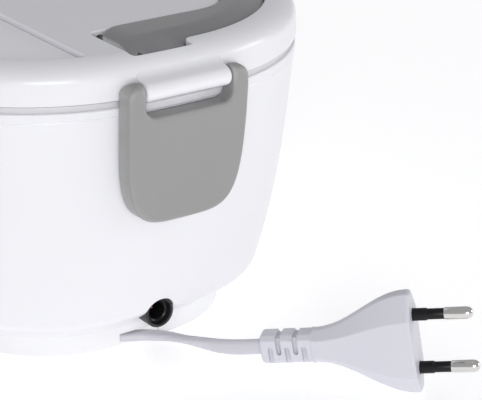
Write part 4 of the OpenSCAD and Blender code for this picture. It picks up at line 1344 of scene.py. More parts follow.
@dataclass
class Lid:
    """The white lid: a soft-shouldered cap with recesses for the handle and the spoon store."""

    bottom: float = 95.6
    top: float = 108.0
    wall: float = 2.4
    shoulder_width: float = 9.5
    shoulder_height: float = 6.0
    recess_floor: float = 101.0
    gap: float = 0.4
    pan: float = 1.5
    ledge: float = 105.1
    well_floor: float = 96.3
    strip_inset: float = 9.8
    strip_edge: float = 26.5
    well_inset: float = 18.0
    well_edge: float = 30.5
    vent: Spot = (10.0, 45.0)
    vent_radius: float = 4.2
    edge: float = 0.7
    barrel: float = 3.1
    barrel_length: float = 31.0
    barrel_edge: float = 1.2
    hinge_out: float = 2.8
    hinge_z: float = 98.2
    ear_swing: float = 4.12
    stub: float = 1.65
    flow: tuple[Spot, ...] = ((-121.2, 101.36), (-120.4, 101.6), (-119.6, 101.88), (-118.9, 102.22), (-118.3, 102.65),
                              (-117.8, 103.15), (-117.4, 103.7), (-117.0, 104.2), (-116.4, 104.7))
    plan: HandlePlan = field(default_factory=HandlePlan)

    def shoulder(self, set_back: float = 0.0, steps: int = 12) -> list[Spot]:
        """Draw the rounded shoulder from the side to the flat top, as (inset, height)."""
        base = self.top - self.shoulder_height
        reach = self.shoulder_width - 0.2
        turns = [math.pi / 2 * i / steps for i in range(steps + 1)]
        return [(0.2 + reach * (1 - math.cos(a)) + set_back * (1 - math.sin(a)),
                 base + self.shoulder_height * math.sin(a)) for a in turns]

    def height(self, x: float, y: float) -> float:
        """Return the height of the lid's skin at a place, without its recesses."""
        run = (OUTLINE.inset_at(x, y) - 0.2) / (self.shoulder_width - 0.2)
        if run >= 1:
            return self.top
        return self.top - self.shoulder_height * (1 - math.sqrt(max(0.0, 1 - (1 - max(0.0, run)) ** 2)))

    def strip_plan(self) -> Plan:
        """Draw the recess of the spoon store's cover, with its corners rounded."""
        run = OUTLINE.left_of(self.strip_inset, -self.strip_edge)
        rear = round_corner((self.strip_edge * -1, 20.0), run[0], run[2], 1.2)
        front = round_corner(run[-3], run[-1], (-self.strip_edge, -20.0), 1.2)
        return [p for p in run[1:-1] if p[0] < -self.strip_edge - 1.4] + front + rear

    def block(self) -> Solid:
        """Make the lid's outside with its shallow recesses, as a solid block."""
        recess, strip = self.plan.recess(self.gap), self.strip_plan()
        rings = [OUTLINE.ring(inset) for inset, _ in self.shoulder()]
        for plan in (recess, strip):
            rings += [offset_plan(plan, self.edge * share) for share in FILLET_STEPS]

        def keep(x: float, y: float) -> bool:
            """Tell whether a place is on the lid, clear of both recesses."""
            return OUTLINE.inset_at(x, y) > 0.2 and not holds(recess, x, y) and not holds(strip, x, y)

        places, faces = sheet(rings, [], keep)
        used = sorted({i for face in faces for i in face})
        number = {old: new for new, old in enumerate(used)}
        form = Form()
        for i in used:
            x, y = places[i]
            near = min(away(recess, x, y), away(strip, x, y))
            form.points.append((x, y, self.height(x, y) - fillet(self.edge, near)))
        form.faces = [tuple(number[i] for i in face) for face in faces]
        start = form.ring(at_height(OUTLINE.ring(0.2), self.top - self.shoulder_height))
        for inset, z in ((0.1, self.bottom + 3), (0.0, self.bottom + 0.6),
                         (0.18, self.bottom + 0.18), (0.6, self.bottom)):
            following = form.ring(at_height(OUTLINE.ring(inset), z))
            form.bridge(start, following)
            start = following
        form.faces.append(tuple(start))
        solid = Solid(form)
        self._sink(solid.piece, ((recess, self.recess_floor), (strip, self.ledge)))
        return solid

    def _sink(self, piece: bpy.types.Object, recesses: Sequence[tuple[Plan, float]]) -> None:
        """Draw the open edges of the block down to the recesses' floors and close them."""
        work = bmesh.new()
        work.from_mesh(piece.data)
        bmesh.ops.remove_doubles(work, verts=[vert for vert in work.verts if vert.is_boundary], dist=0.06 * MM)
        outside = set(work.faces)
        open_edges = [edge for edge in work.edges if edge.is_boundary]
        for plan, floor in recesses:
            low_x, high_x = min(a for a, _ in plan), max(a for a, _ in plan)
            mine = [edge for edge in open_edges if edge.is_valid
                    and all(low_x - 0.05 < v.co.x / MM < high_x + 0.05 for v in edge.verts)]
            made = bmesh.ops.extrude_edge_only(work, edges=mine)["geom"]
            for vert in (item for item in made if isinstance(item, bmesh.types.BMVert)):
                vert.co.z = floor * MM
            bmesh.ops.holes_fill(work, edges=[item for item in made if isinstance(item, bmesh.types.BMEdge)], sides=0)
        bmesh.ops.recalc_face_normals(work, faces=work.faces)
        LOG.info("lid block: %d open edges left", sum(1 for edge in work.edges if not edge.is_manifold))
        work.to_mesh(piece.data)
        # Blender extrudes edges in an order that changes from run to run, so the walls are put in a fixed one.
        faces = [tuple(face.vertices) for face in piece.data.polygons]
        walls = [i for i, face in enumerate(work.faces) if face not in outside and len(face.verts) == 4]
        for place, wall in zip(walls, sorted(faces[i] for i in walls)):
            faces[place] = wall
        work.free()
        points = [tuple(vert.co) for vert in piece.data.vertices]
        piece.data.clear_geometry()
        piece.data.from_pydata(points, [], faces)

    def cavity(self) -> Solid:
        """Make the room under the lid."""
        w, base = self.wall, self.top - self.shoulder_height
        return Solid(through_levels([
            (w - 0.2, self.bottom - 1), (w, self.bottom + 0.4), (w + 0.6, base), (w + 1.4, base + 1.8),
            (self.shoulder_width - 3, self.top - w - 0.7), (self.shoulder_width + 1.5, self.top - w)]))

    def strip(self, inset: float, edge: float, low: float, high: float) -> Form:
        """Draw a strip of the box's plan left of an edge."""
        return prism(OUTLINE.left_of(inset, -edge), Axis.Z, low, high)

    def pans(self) -> Solid:
        """Make the trays that hang under the top round the recesses."""
        grow = self.gap + self.pan
        pans = Solid(prism(self.plan.recess(grow), Axis.Z, self.recess_floor - self.pan, self.top + 5))
        for inset, edge, floor, top in ((self.strip_inset, self.strip_edge, self.ledge, self.top + 6),
                                        (self.well_inset, self.well_edge, self.well_floor, self.top + 7)):
            pans = pans + Solid(self.strip(inset - self.pan, edge - self.pan, floor - self.pan, top))
        return pans + Solid(prism(circle(self.vent, self.vent_radius + 2, 36), Axis.Z, 94.5, self.top + 8))

    def barrels(self, side: int) -> Solid:
        """Make the shape on one end of the lid that carries a latch, with rounded ends."""
        out = -OUTLINE.length / 2 - self.hinge_out
        r, z, half = self.barrel, self.hinge_z, self.barrel_length / 2
        rings: list[list[Point]] = []
        steps = 6
        ends = [(-half + self.barrel_edge * (1 - math.cos(math.pi / 2 * k / steps)),
                 self.barrel_edge * (1 - math.sin(math.pi / 2 * k / steps))) for k in range(steps + 1)]
        for x, shrink in ends + [(-9.0, 0.0), (0.0, 0.0), (9.0, 0.0)] + [(-x, shrink) for x, shrink in reversed(ends)]:
            bulge = OUTLINE.length / 2 - OUTLINE.end_y(0.0, x)
            section = arc((out, z), r - shrink, 286, 112, 18)
            for a, b in self.flow:
                share = min(1.0, (a + 121.6) / 4.0)
                section.append((a + bulge * share + shrink * 0.3, b - shrink * (1 - 0.5 * share)))
            section += [(-114.8, 104.7 - shrink), (-114.8, 96.6 + shrink * 0.2)]
            rings.append([Axis.X.place(a * -side, b, x * -side) for a, b in section])
        return Solid(Form().loft(rings))

    def ear_cuts(self, side: int) -> list[Form]:
        """Draw the pockets that clear a latch's two ears, and the bores for its stubs."""
        out = (-OUTLINE.length / 2 - self.hinge_out) * -side
        half = self.barrel_length / 2
        wide = [(half, half + 7.1), (-half - 7.1, -half)]
        bores = [(half - 5, half + 1), (-half - 1, -half + 5)]
        return ([prism(circle((out, self.hinge_z), self.ear_swing, 56), Axis.X, low, high) for low, high in wide]
                + [prism(circle((out, self.hinge_z), self.stub, 28), Axis.X, low, high) for low, high in bores])

    def build(self) -> bpy.types.Object:
        """Build the lid."""
        lid = self.block() - (self.cavity() - self.pans())
        for side in (-1, 1):
            lid = lid + self.barrels(side)
        lid = lid - Solid(self.strip(self.well_inset, self.well_edge, self.well_floor, self.top - 1))
        lid = lid - Solid(prism(circle(self.vent, self.vent_radius, 36), Axis.Z, 80.0, 120.0))
        for side in (-1, 1):
            for cut in self.ear_cuts(side):
                lid = lid - Solid(cut)
        return even_out(lid.named("lid_shell"), 38)


@dataclass
class LidPanel:
    """The inner panel of the lid and the silicone gasket on it."""

    def panel(self) -> bpy.types.Object:
        """Build the dished inner panel."""
        low, top, rim = 93.3, 98.3, 99.2
        panel = Solid(through_levels([
            (16.5, low), (15.2, low + 0.3), (14.5, low + 1.2), (14.5, top), (3.3, top), (3.0, top + 0.2),
            (3.0, rim - 0.2),
            (3.3, rim), (15.4, rim), (15.7, rim - 0.3), (15.7, low + 2.2), (16.0, low + 1.5), (16.6, low + 1.2)]))
        panel = panel - Solid(prism(circle((10.0, 45.0), 3.2, 36), Axis.Z, 80.0, 120.0))
        return soften(panel.named("lid_panel"), 0.15, 2, 40)

    def gasket(self) -> bpy.types.Object:
        """Build the gasket with its soft inner lip."""
        low, top = 96.4, 98.3
        piece = through_levels([
            (4.3, low), (4.0, low + 0.3), (4.0, top), (10.0, top), (10.0, low + 0.9), (9.85, low + 0.4),
            (9.5, low + 0.1), (9.2, low), (7.6, low), (7.4, low + 0.35), (6.2, low + 0.35), (6.0, low),
        ], hoop=True).build("lid_gasket_ring")
        smooth(piece, 45)
        return piece


@dataclass
class Handle:
    """The glossy grey carrying handle, flush in its recess when it is folded."""

    plan: HandlePlan = field(default_factory=HandlePlan)
    bottom: float = 101.4
    top: float = 108.8
    nose_x: float = -3.0
    nose_round: float = 10.0
    outside: tuple[Spot, ...] = (
        (11.1, 101.4), (10.8, 101.7), (10.8, 104.6), (10.9, 105.3), (11.3, 105.9), (12.0, 106.3), (14.0, 107.03),
        (16.0, 107.78), (17.4, 108.27), (18.2, 108.5), (19.0, 108.68), (19.9, 108.8))
    hub_outside: tuple[Spot, ...] = (
        (6.1, 101.4), (5.8, 101.7), (5.8, 104.3), (6.0, 105.1), (6.6, 105.9), (7.8, 106.45), (10.2, 106.95),
        (13.5, 107.65), (16.8, 108.35), (18.0, 108.58), (19.0, 108.72), (19.9, 108.8))
    joined_outside: tuple[Spot, ...] = (
        (6.1, 101.4), (5.8, 101.7), (5.8, 103.6), (6.0, 104.3), (6.6, 104.95), (7.8, 105.5), (10.8, 106.1),
        (13.2, 106.74), (16.4, 107.92), (18.0, 108.45), (19.0, 108.68), (19.9, 108.8))
    inside: tuple[Spot, ...] = (
        (0.9, 108.8), (0.5, 108.72), (0.2, 108.5), (0.04, 108.2), (0.0, 107.9), (0.0, 101.7), (0.3, 101.4))

    def station(self, x: float, edge: float = 0.0, hub: bool = True) -> list[Point]:
        """Draw the section across the front arm at a place x, drawn in by a distance near the block's end."""
        plan = self.plan
        crest, keel = self.top, self.bottom
        inner = plan.window_y
        if x < self.nose_x:
            run = self.nose_x - plan.pivot_x + plan.hub_radius
            crest = plan.pivot_z + plan.hub_radius * math.sqrt(max(0.0, 1 - ((self.nose_x - x) / run) ** 2))
            inner += self.nose_round - math.sqrt(max(0.0, self.nose_round**2 - min(0.0, x - self.nose_x + 0.2) ** 2))
        if x < plan.pivot_x:
            keel = plan.pivot_z - math.sqrt(max(0.0, plan.hub_radius**2 - (x - plan.pivot_x) ** 2))
        section: list[Point] = []
        blend = max(0.0, min(1.0, (x + 1.0) / (plan.hub_right + 0.5)))
        blend = blend * blend * (3 - 2 * blend)
        for bow, raised, joined in zip(self.outside, self.hub_outside, self.joined_outside):
            inset, z = bow
            if hub:
                inset = raised[0] + (joined[0] - raised[0]) * blend
                z = raised[1] + (joined[1] - raised[1]) * blend
            inset += edge * max(0.0, min(1.0, (11.0 - inset) / 3.0))
            held = max(keel, min(crest, z))
            bulge = self._bulge(held) if hub and x > plan.hub_right - 1 else 0.0
            section.append((x - bulge, -OUTLINE.end_y(inset, x), held))
        for reach, z in self.inside:
            drop = self.top - z if z > 105 else 0.0
            held = max(keel + 0.02, min(crest - drop, z)) if drop else max(keel, z)
            section.append((x, -inner - reach, min(held, crest)))
        return section

    def _bulge(self, z: float) -> float:
        """Return how far the block's rounded end falls back at a height."""
        reach = self.plan.hub_right - self.plan.pivot_x
        return reach - math.sqrt(reach**2 - (z - self.plan.pivot_z) ** 2)

    def stations(self) -> list[list[Point]]:
        """Draw every section from the front nose round to the middle of the right side."""
        plan = self.plan
        nose = [-13.19, -13.12, -12.95, -12.7, -12.3, -11.7, -10.9, -9.9, -8.8, -7.6, -6.4, -5.2, -4.0, -3.4, -3.0]
        rows = [self.station(x) for x in nose]
        rows += [self.station(x) for x in (-1.0, 2.0, 4.5, 6.2)]
        rows += [self.station(plan.hub_right - back, draw)
                 for back, draw in ((0.7, 0.0), (0.35, 0.08), (0.12, 0.28), (0.0, 0.6))]
        rows += [self.station(plan.hub_right, 0.0, False)]
        end, corner, side, end_angle, side_angle = OUTLINE.centres()
        x, y, r = plan.window_x, plan.window_y, plan.window_radius
        for i in range(1, 7):
            share = i / 6
            rows.append(self._section(lambda inset: self._on_end(end, end_angle, inset, share),
                                      lambda reach: (plan.hub_right + (x - r - plan.hub_right) * share, -y - reach)))
        for i in range(1, 25):
            share = i / 24
            angle = end_angle + (side_angle - end_angle) * share
            turn = math.radians(-90 + 90 * share)
            rows.append(self._section(
                lambda inset: (corner.x + (66 - inset) * math.cos(angle), corner.y + (66 - inset) * math.sin(angle)),
                lambda reach: (x - r + (r + reach) * math.cos(turn), -(y - r) + (r + reach) * math.sin(turn))))
        for i in range(1, 7):
            share = i / 6
            angle = side_angle * (1 - share)
            rows.append(self._section(
                lambda inset: (side.x + (600 - inset) * math.cos(angle), (600 - inset) * math.sin(angle)),
                lambda reach: (x + reach, -(y - r) * (1 - share))))
        return rows

    def _on_end(self, end: Vector, end_angle: float, inset: float, share: float) -> Spot:
        """Return a place on the end arc between the block and the corner."""
        reach = 300 - inset
        start = -math.acos(min(1.0, self.plan.hub_right / reach))
        angle = start + (end_angle - start) * share
        return end.x + reach * math.cos(angle), end.y + reach * math.sin(angle)

    def _section(self, outer: Callable[[float], Spot], inner: Callable[[float], Spot]) -> list[Point]:
        """Draw a section from how its outside and inside lie in the plan."""
        return ([(*outer(inset), z) for inset, z in self.outside] + [(*inner(reach), z) for reach, z in self.inside])

    def build(self) -> bpy.types.Object:
        """Build the handle."""
        plan = self.plan
        front = self.stations()
        rows = front + [[(x, -y, z) for x, y, z in row] for row in reversed(front[:-1])]
        grip = Solid(Form().loft(rows))
        even_out(grip.piece, 50)
        for side in (-1, 1):
            low, high = sorted((side * 80.0, side * 120.0))
            grip = grip - Solid(prism(circle((plan.pivot_x, plan.pivot_z), 1.55, 32), Axis.Y, low, high))
        return even_out(grip.named("handle_grip"), 50)


# ---- Latches ----


@dataclass
class Latch:
    """A clip latch: two ears on a hinge over a rounded shield, hollow behind, with a hook inside."""

    width: float = 43.8
    axis_y: float = -120.8
    axis_z: float = 98.2
    face: float = -124.4
    gap: float = 0.45
    ear: float = 3.3
    ear_round: float = 2.6
    ear_corner: float = 4.4
    wall: float = 1.8
    taper_z: float = 94.68
    bottom: float = 53.9
    power: float = 4.4
    draw: float = 0.04
    bow_z: float = 96.0
    bow_end: float = 86.0
    lean: float = 0.11
    bend: float = 300.0
    slot_half: float = 15.8
    slot_bottom: float = 90.4
    slot_corner: float = 3.5
    shelf: float = 2.4
    hook_half: float = 15.0
    edge: float = 1.3
    shell: Shell = field(default_factory=Shell)

    def side_run(self, shrink: float, steps: int = 30) -> Plan:
        """Draw the right side of the shield from its foot up to where it is widest."""
        height = self.taper_z - self.bottom - shrink
        half = self.width / 2 - shrink
        run: Plan = []
        for i in range(steps + 1):
            a = math.pi / 2 * i / steps
            fall = math.cos(a) ** (2 / self.power)
            run.append((half * math.sin(a) ** (2 / self.power) * (1 - self.draw * fall), self.taper_z - height * fall))
        return run

    def front_view(self) -> Plan:
        """Draw the latch from the front with its slot, anticlockwise from the foot."""
        half, top, c = self.width / 2, self.axis_z + self.ear, self.ear_corner
        r, low, slot = self.slot_corner, self.slot_bottom, self.slot_half
        right = self.side_run(0.0, 44) + [(half, 96.0)]
        right += arc((half - c, top - c), c, 0, 90, 10)
        right += [(slot + 0.9, top)] + arc((slot + 0.5, top - 0.5), 0.5, 90, 180, 3)[1:]
        right += [(slot, 98.5), (slot, 96.0)] + arc((slot - r, low + r), r, 360, 270, 8) + [(8.0, low), (4.0, low)]
        return right + [(0.0, low)] + [(-x, z) for x, z in reversed(right) if x > 0.01]

    def lid_edge(self, z: float) -> float:
        """Return how far the rounded top of the ears has fallen back at a height."""
        return fillet(self.ear_round, self.axis_z + self.ear - z)

    def bow(self, z: float) -> float:
        """Return how far the face falls back at a height: curved at first, then straight."""
        run = self.bow_z - max(self.bow_end, min(self.bow_z, z))
        return self.lean * (run**2 / (2 * (self.bow_z - self.bow_end)) + max(0.0, self.bow_end - z))

    def front_at(self, x: float, z: float) -> float:
        """Return the place y of the face, which is bent like the end of the box."""
        return self.face + x**2 / (2 * self.bend) + self.bow(z) + self.lid_edge(z)

    def back_at(self, x: float, z: float) -> float:
        """Return the place y of the back: it follows the wall at a gap, and is round behind the ears."""
        rise = z - self.axis_z
        inset = max(0.0, self.shell.wall_inset(min(z, self.shell.rim)) - self.shell.rim_inset)
        along_wall = -OUTLINE.end_y(inset, x) - self.gap
        if abs(rise) >= self.ear:
            return self.axis_y if rise > 0 else along_wall
        round_back = self.axis_y + math.sqrt(self.ear**2 - rise**2)
        return round_back if rise > 0 else max(along_wall, round_back)

    def block(self) -> Solid:
        """Make the latch without its hollow: a bowed face with rounded edges over a straight side."""
        view = self.front_view()
        top = self.axis_z + self.ear
        side_walls = [(x, z if z < top - 0.01 else z + 60.0) for x, z in view]
        rings = [offset_plan(view, -self.edge * share) for share in FILLET_STEPS]
        heights = [55.0 + 1.6 * i for i in range(26)] + [96.6, 97.8] + [98.9 + 0.24 * i for i in range(11)]
        spots = [(x, z) for z in heights for x in [-21.0 + 1.75 * i for i in range(25)]
                 if holds(view, x, z) and away(view, x, z) > self.edge + 0.25]
        places, faces = sheet(rings, spots, lambda x, z: holds(view, x, z))
        form = Form()
        front = form.ring([(x, self.front_at(x, z) + fillet(self.edge, away(side_walls, x, z)), z) for x, z in places])
        rear = form.ring([(x, self.back_at(x, z), z) for x, z in places])
        count: dict[tuple[int, int], int] = {}
        for face in faces:
            form.faces.append(tuple(front[i] for i in face))
            form.faces.append(tuple(rear[i] for i in reversed(face)))
            for a, b in zip(face, face[1:] + face[:1]):
                count[(a, b)] = count.get((a, b), 0) + 1
        for a, b in count:
            if (b, a) not in count:
                form.faces.append((front[b], front[a], rear[a], rear[b]))
        return Solid(form)

    def hollow(self) -> Solid:
        """Make the room behind the shield, below the shelf that carries the hook."""
        shelf = self.slot_bottom - self.shelf
        rows = [shelf - (shelf - self.bottom + 2) * i / 14 for i in range(15)]
        section = [(self.face + self.wall + self.bow(z), z) for z in rows] + [(-100.0, rows[-1]), (-100.0, shelf)]
        right = self.side_run(self.wall) + [(self.width / 2 - self.wall, self.taper_z + 2)]
        view = right + [(-x, z) for x, z in reversed(right) if x > 0.01]
        room = Solid(prism(section, Axis.X, -self.width, self.width))
        return room & Solid(prism(view, Axis.Y, -140.0, -99.0))

    def hook(self) -> Form:
        """Draw the hook that enters the body's pocket."""
        section = [(-119.4, 90.0), (-116.6, 90.0), (-116.2, 89.6), (-116.2, 88.7), (-116.8, 88.3), (-119.4, 88.3)]
        return prism(section, Axis.X, -self.hook_half, self.hook_half)

    def build(self, name: str, rear: bool) -> bpy.types.Object:
        """Build a latch.

        Args:
            name: Name of the object.
            rear: Whether it is the one on the rear end.

        Returns:
            The object.
        """
        latch = self.block() - self.hollow()
        latch = latch + Solid(self.hook())
        for side in (-1, 1):
            low, high = sorted((side * 11.0, side * (self.slot_half + 0.4)))
            latch = latch + Solid(prism(circle((self.axis_y, self.axis_z), 1.6, 28), Axis.X, low, high))
        if rear:
            latch.piece.data.transform(Matrix.Rotation(math.pi, 4, "Z"))
        return even_out(latch.named(name), 42)


# ---- Loose pieces in the lid ----


@dataclass
class SpoonStore:
    """The grey cover of the spoon store and the spoon under it."""

    top: float = 106.5
    sheet: float = 1.4
    inset: float = 10.1
    edge: float = 26.8
    notch: float = 6.0

    def cover(self) -> bpy.types.Object:
        """Build the cover with its thumb notch."""
        cover = Solid(prism(OUTLINE.left_of(self.inset, -self.edge), Axis.Z, self.top - self.sheet, self.top))
        cover = cover - Solid(prism(circle((-self.edge, 0.0), self.notch, 40), Axis.Z, 90.0, 120.0))
        return soften(cover.named("spoon_store_cover"), 0.35, 3, 40)

    def spoon(self) -> bpy.types.Object:
        """Build the spoon: a hollowed bowl drawn out into a flat stem."""
        form = Form()
        length, half_bowl, rows, columns = 132.0, 19.0, 64, 12
        top: list[list[int]] = []
        under: list[list[int]] = []
        for i in range(rows + 1):
            y = -length / 2 + length * i / rows
            width, depth = self._spoon_section(y + length / 2, half_bowl, length)
            upper, lower = [], []
            for j in range(columns + 1):
                u = -1 + 2 * j / columns
                z = 4.4 - depth * (1 - u * u)
                upper.append((-45.75 + width * u, y, 96.6 + z))
                lower.append((-45.75 + width * u, y, 96.6 + z - 0.75 * (1 - 0.7 * u**8)))
            top.append(form.ring(upper))
            under.append(form.ring(lower))
        for i in range(rows):
            for j in range(columns):
                form.faces.append((top[i][j], top[i][j + 1], top[i + 1][j + 1], top[i + 1][j]))
                form.faces.append((under[i][j], under[i + 1][j], under[i + 1][j + 1], under[i][j + 1]))
            form.faces.append((top[i][0], top[i + 1][0], under[i + 1][0], under[i][0]))
            form.faces.append((top[i][-1], under[i][-1], under[i + 1][-1], top[i + 1][-1]))
        for row, flip in ((0, False), (rows, True)):
            for j in range(columns):
                face = (top[row][j], under[row][j], under[row][j + 1], top[row][j + 1])
                form.faces.append(tuple(reversed(face)) if flip else face)
        piece = form.build("store_spoon")
        smooth(piece, 45)
        return piece

    def _spoon_section(self, along: float, half_bowl: float, length: float) -> Spot:
        """Return the half width and the hollow of the spoon at a place along it."""
        bowl = half_bowl * 2
        if along < bowl:
            t = (along - half_bowl) / half_bowl
            round_off = max(0.0, 1 - t * t) ** 0.5
            neck = 2.2 * max(0.0, min(1.0, (along - half_bowl) / half_bowl)) ** 4
            return max(11.5 * round_off, neck, 0.4), 3.4 * round_off**1.4
        t = (along - bowl) / (length - bowl)
        width = 2.2 + 2.8 * min(1.0, t / 0.86) ** 1.4
        end = (length - along) / 5.0
        if end < 1:
            width *= max(0.12, 1 - (1 - end) ** 2) ** 0.5
        return width, 0.15


@dataclass
class SteamPlug:
    """The silicone plug of the steam vent, with a pull tab."""

    spot: Spot = (10.0, 45.0)
    radius: float = 4.12
    flange: float = 7.0
    low: float = 103.0
    seat: float = 108.0
    top: float = 109.4

    def build(self) -> bpy.types.Object:
        """Build the plug."""
        x, y = self.spot
        profile: list[Spot] = [
            (0.02, self.low), (self.radius - 0.7, self.low), (self.radius - 0.2, self.low + 0.5),
            (self.radius, self.low + 1.0), (self.radius, self.seat), (self.flange - 0.2, self.seat),
            (self.flange, self.seat + 0.25), (self.flange, self.seat + 0.7), (self.flange - 0.4, self.seat + 1.2),
            (self.flange - 1.2, self.top), (4.2, self.top), (3.8, self.top - 0.3), (0.02, self.top - 0.45)]
        plug = Solid(turned(profile, self.spot, Axis.Z, 48))
        tab = [(x + 6, y - 2.5)] + arc((x + 9.5, y), 2.5, -90, 90, 10) + [(x + 6, y + 2.5)]
        tab = [(min(a, x + 11), b) for a, b in tab]
        plug = plug + Solid(prism(tab, Axis.Z, self.seat + 0.02, self.top - 0.1))
        return soften(plug.named("steam_vent_plug"), 0.25, 2, 40)


# ---- Lead ----


@dataclass
class Lead:
    """The flat mains lead: wound under the base, out through the notch and up to its plug."""

    width: float = 5.0
    thick: float = 3.0
    height: float = 6.25
    inner_inset: float = 39.55
    outer_inset: float = 34.25
    out_x: float = -22.0
    start_y: float = -20.0
    route: tuple[Point, ...] = (
        (-22, -82.8, 6.2), (-19, -82.8, 6.2), (-14.4, -83.7, 4.8), (-9.4, -85.8, 2.9), (-4.5, -88.6, 1.8),
        (0.3, -91, 1.8), (4.3, -94, 1.8), (7.6, -98.2, 2.1), (9.6, -104.4, 2.9), (10.8, -111.4, 4.2),
        (12, -119.6, 6), (13.2, -126.6, 8), (15.2, -132.4, 9.8), (17.8, -136.2, 10.8))
    face: Point = (50.5, -173.7, 18.4)
    turn: Point = (3.0, -8.7, -48.9)
    plug_length: float = 50.0
    relief: float = 17.0
    relief_half: Spot = (4.0, 4.9)
    neck_half: Spot = (4.4, 5.6)
    plug_half: Spot = (6.8, 17.3)
    pin_gap: float = 18.6
    slot: float = 0.75
    slot_depth: float = 1.5
    slot_count: int = 5
    slot_start: float = 3.4
    slot_pitch: float = 2.75
    slot_reach: float = 9.0
    upper_slot: Spot = (-0.7, 6.0)
    lower_slot: Spot = (-6.0, 0.4)
    crown_depth: float = 1.0
    flare_steps: int = 22
    twist: float = 86.0
    twist_start: float = 50.0
    twist_run: float = 42.0
    roundness: float = 0.72
    step: float = 2.5
    plug_bevel: Spot = (0.56, 0.3)
    relief_bevel: Spot = (0.72, 0.62)

    def store_path(self) -> list[Vector]:
        """Draw the two turns in the store, from the gland to where the lead leaves."""
        count = len(OUTLINE.ring(0.0))
        quarter = count // 4
        path: list[Vector] = []
        rings = {0: OUTLINE.ring(self.inner_inset), 1: OUTLINE.ring(self.outer_inset)}
        for step in range(count * 2):
            turn, place = divmod(step, count)
            x, y = rings[turn][place]
            if turn == 0 and place < quarter * 2 and y < self.start_y + 1:
                continue
            if turn == 1 and place <= quarter:
                share = max(0.0, min(1.0, (place - 4) / (quarter * 0.55)))
                share = share * share * (3 - 2 * share)
                a, b = rings[0][place], rings[1][place]
                x, y = a[0] + (b[0] - a[0]) * share, a[1] + (b[1] - a[1]) * share
            if turn == 1 and place > quarter * 3 and x > self.out_x - 3:
                continue
            path.append(Vector((x, y, self.height)))
        first = Vector((OUTLINE.width / 2 - self.inner_inset - 0.35, self.start_y, self.height))
        return [first] + path

    def path(self) -> list[Vector]:
        """Draw the lead's centre line, about 2.5 mm a step, as one smooth run."""
        marks = self.store_path() + [Vector(p) for p in self.route]
        dense: list[Vector] = []
        for i in range(len(marks) - 1):
            a, b, c, d = (marks[max(0, min(len(marks) - 1, k))] for k in (i - 1, i, i + 1, i + 2))
            pieces = max(1, round((c - b).length / self.step))
            for step in range(pieces):
                t = step / pieces
                bend, swing = 2 * a - 5 * b + 4 * c - d, 3 * b - a - 3 * c + d
                dense.append(0.5 * ((2 * b) + (c - a) * t + bend * t**2 + swing * t**3))
        return dense + [marks[-1]]

    def cord(self, path: Sequence[Vector]) -> bpy.types.Object:
        """Build the flat cord along its path, turned upright towards the plug.

        Args:
            path: The centre line.

        Returns:
            The object.
        """
        lengths = [0.0]
        for a, b in zip(path, path[1:]):
            lengths.append(lengths[-1] + (b - a).length)
        total = lengths[-1]
        section: Plan = []
        for i in range(20):
            t = 2 * math.pi * i / 20
            c, s = math.cos(t), math.sin(t)
            section.append((self.width / 2 * math.copysign(abs(c) ** self.roundness, c),
                            self.thick / 2 * math.copysign(abs(s) ** self.roundness, s)))
        rings: list[list[Point]] = []
        for i, centre in enumerate(path):
            ahead = (path[min(i + 1, len(path) - 1)] - path[max(i - 1, 0)]).normalized()
            side = ahead.cross(Vector((0, 0, 1))).normalized()
            up = side.cross(ahead)
            share = max(0.0, min(1.0, (lengths[i] - (total - self.twist_start)) / self.twist_run))
            twist = math.radians(self.twist) * share * share * (3 - 2 * share)
            wide = side * math.cos(twist) + up * math.sin(twist)
            thin = up * math.cos(twist) - side * math.sin(twist)
            rings.append([tuple(centre + wide * a + thin * b) for a, b in section])
        piece = Form().loft(rings).build("mains_lead")
        smooth(piece, 60)
        LOG.info("lead length %.1f mm", total)
        return piece

    def placed(self, form: Form) -> Form:
        """Move a form from the plug's own frame, with its face at x = 0, to its place."""
        turn = Euler([math.radians(a) for a in self.turn], "XYZ").to_matrix()
        form.points = [tuple(Vector(self.face) + turn @ Vector(p)) for p in form.points]
        return form

    def section(self, x: float, half: Spot, bevel: Spot, radius: float = 0.9) -> list[Point]:
        """Draw the plug's eight-sided section at a place along it, with its corners rounded.

        Args:
            x: Place along the plug.
            half: Half thickness and half height.
            bevel: Shares of the half height and half thickness at which the bevels start.
            radius: Radius of the corners.

        Returns:
            The ring.
        """
        thick, tall = half
        quarter = [(thick, tall * bevel[0]), (thick * bevel[1], tall)]
        right = quarter + [(-a, b) for a, b in reversed(quarter)]
        outline = right + [(-a, -b) for a, b in right]
        ring: Plan = []
        for i, corner in enumerate(outline):
            ring += round_corner(outline[i - 1], corner, outline[(i + 1) % len(outline)], radius, 5)
        return [(x, a, b) for a, b in ring]

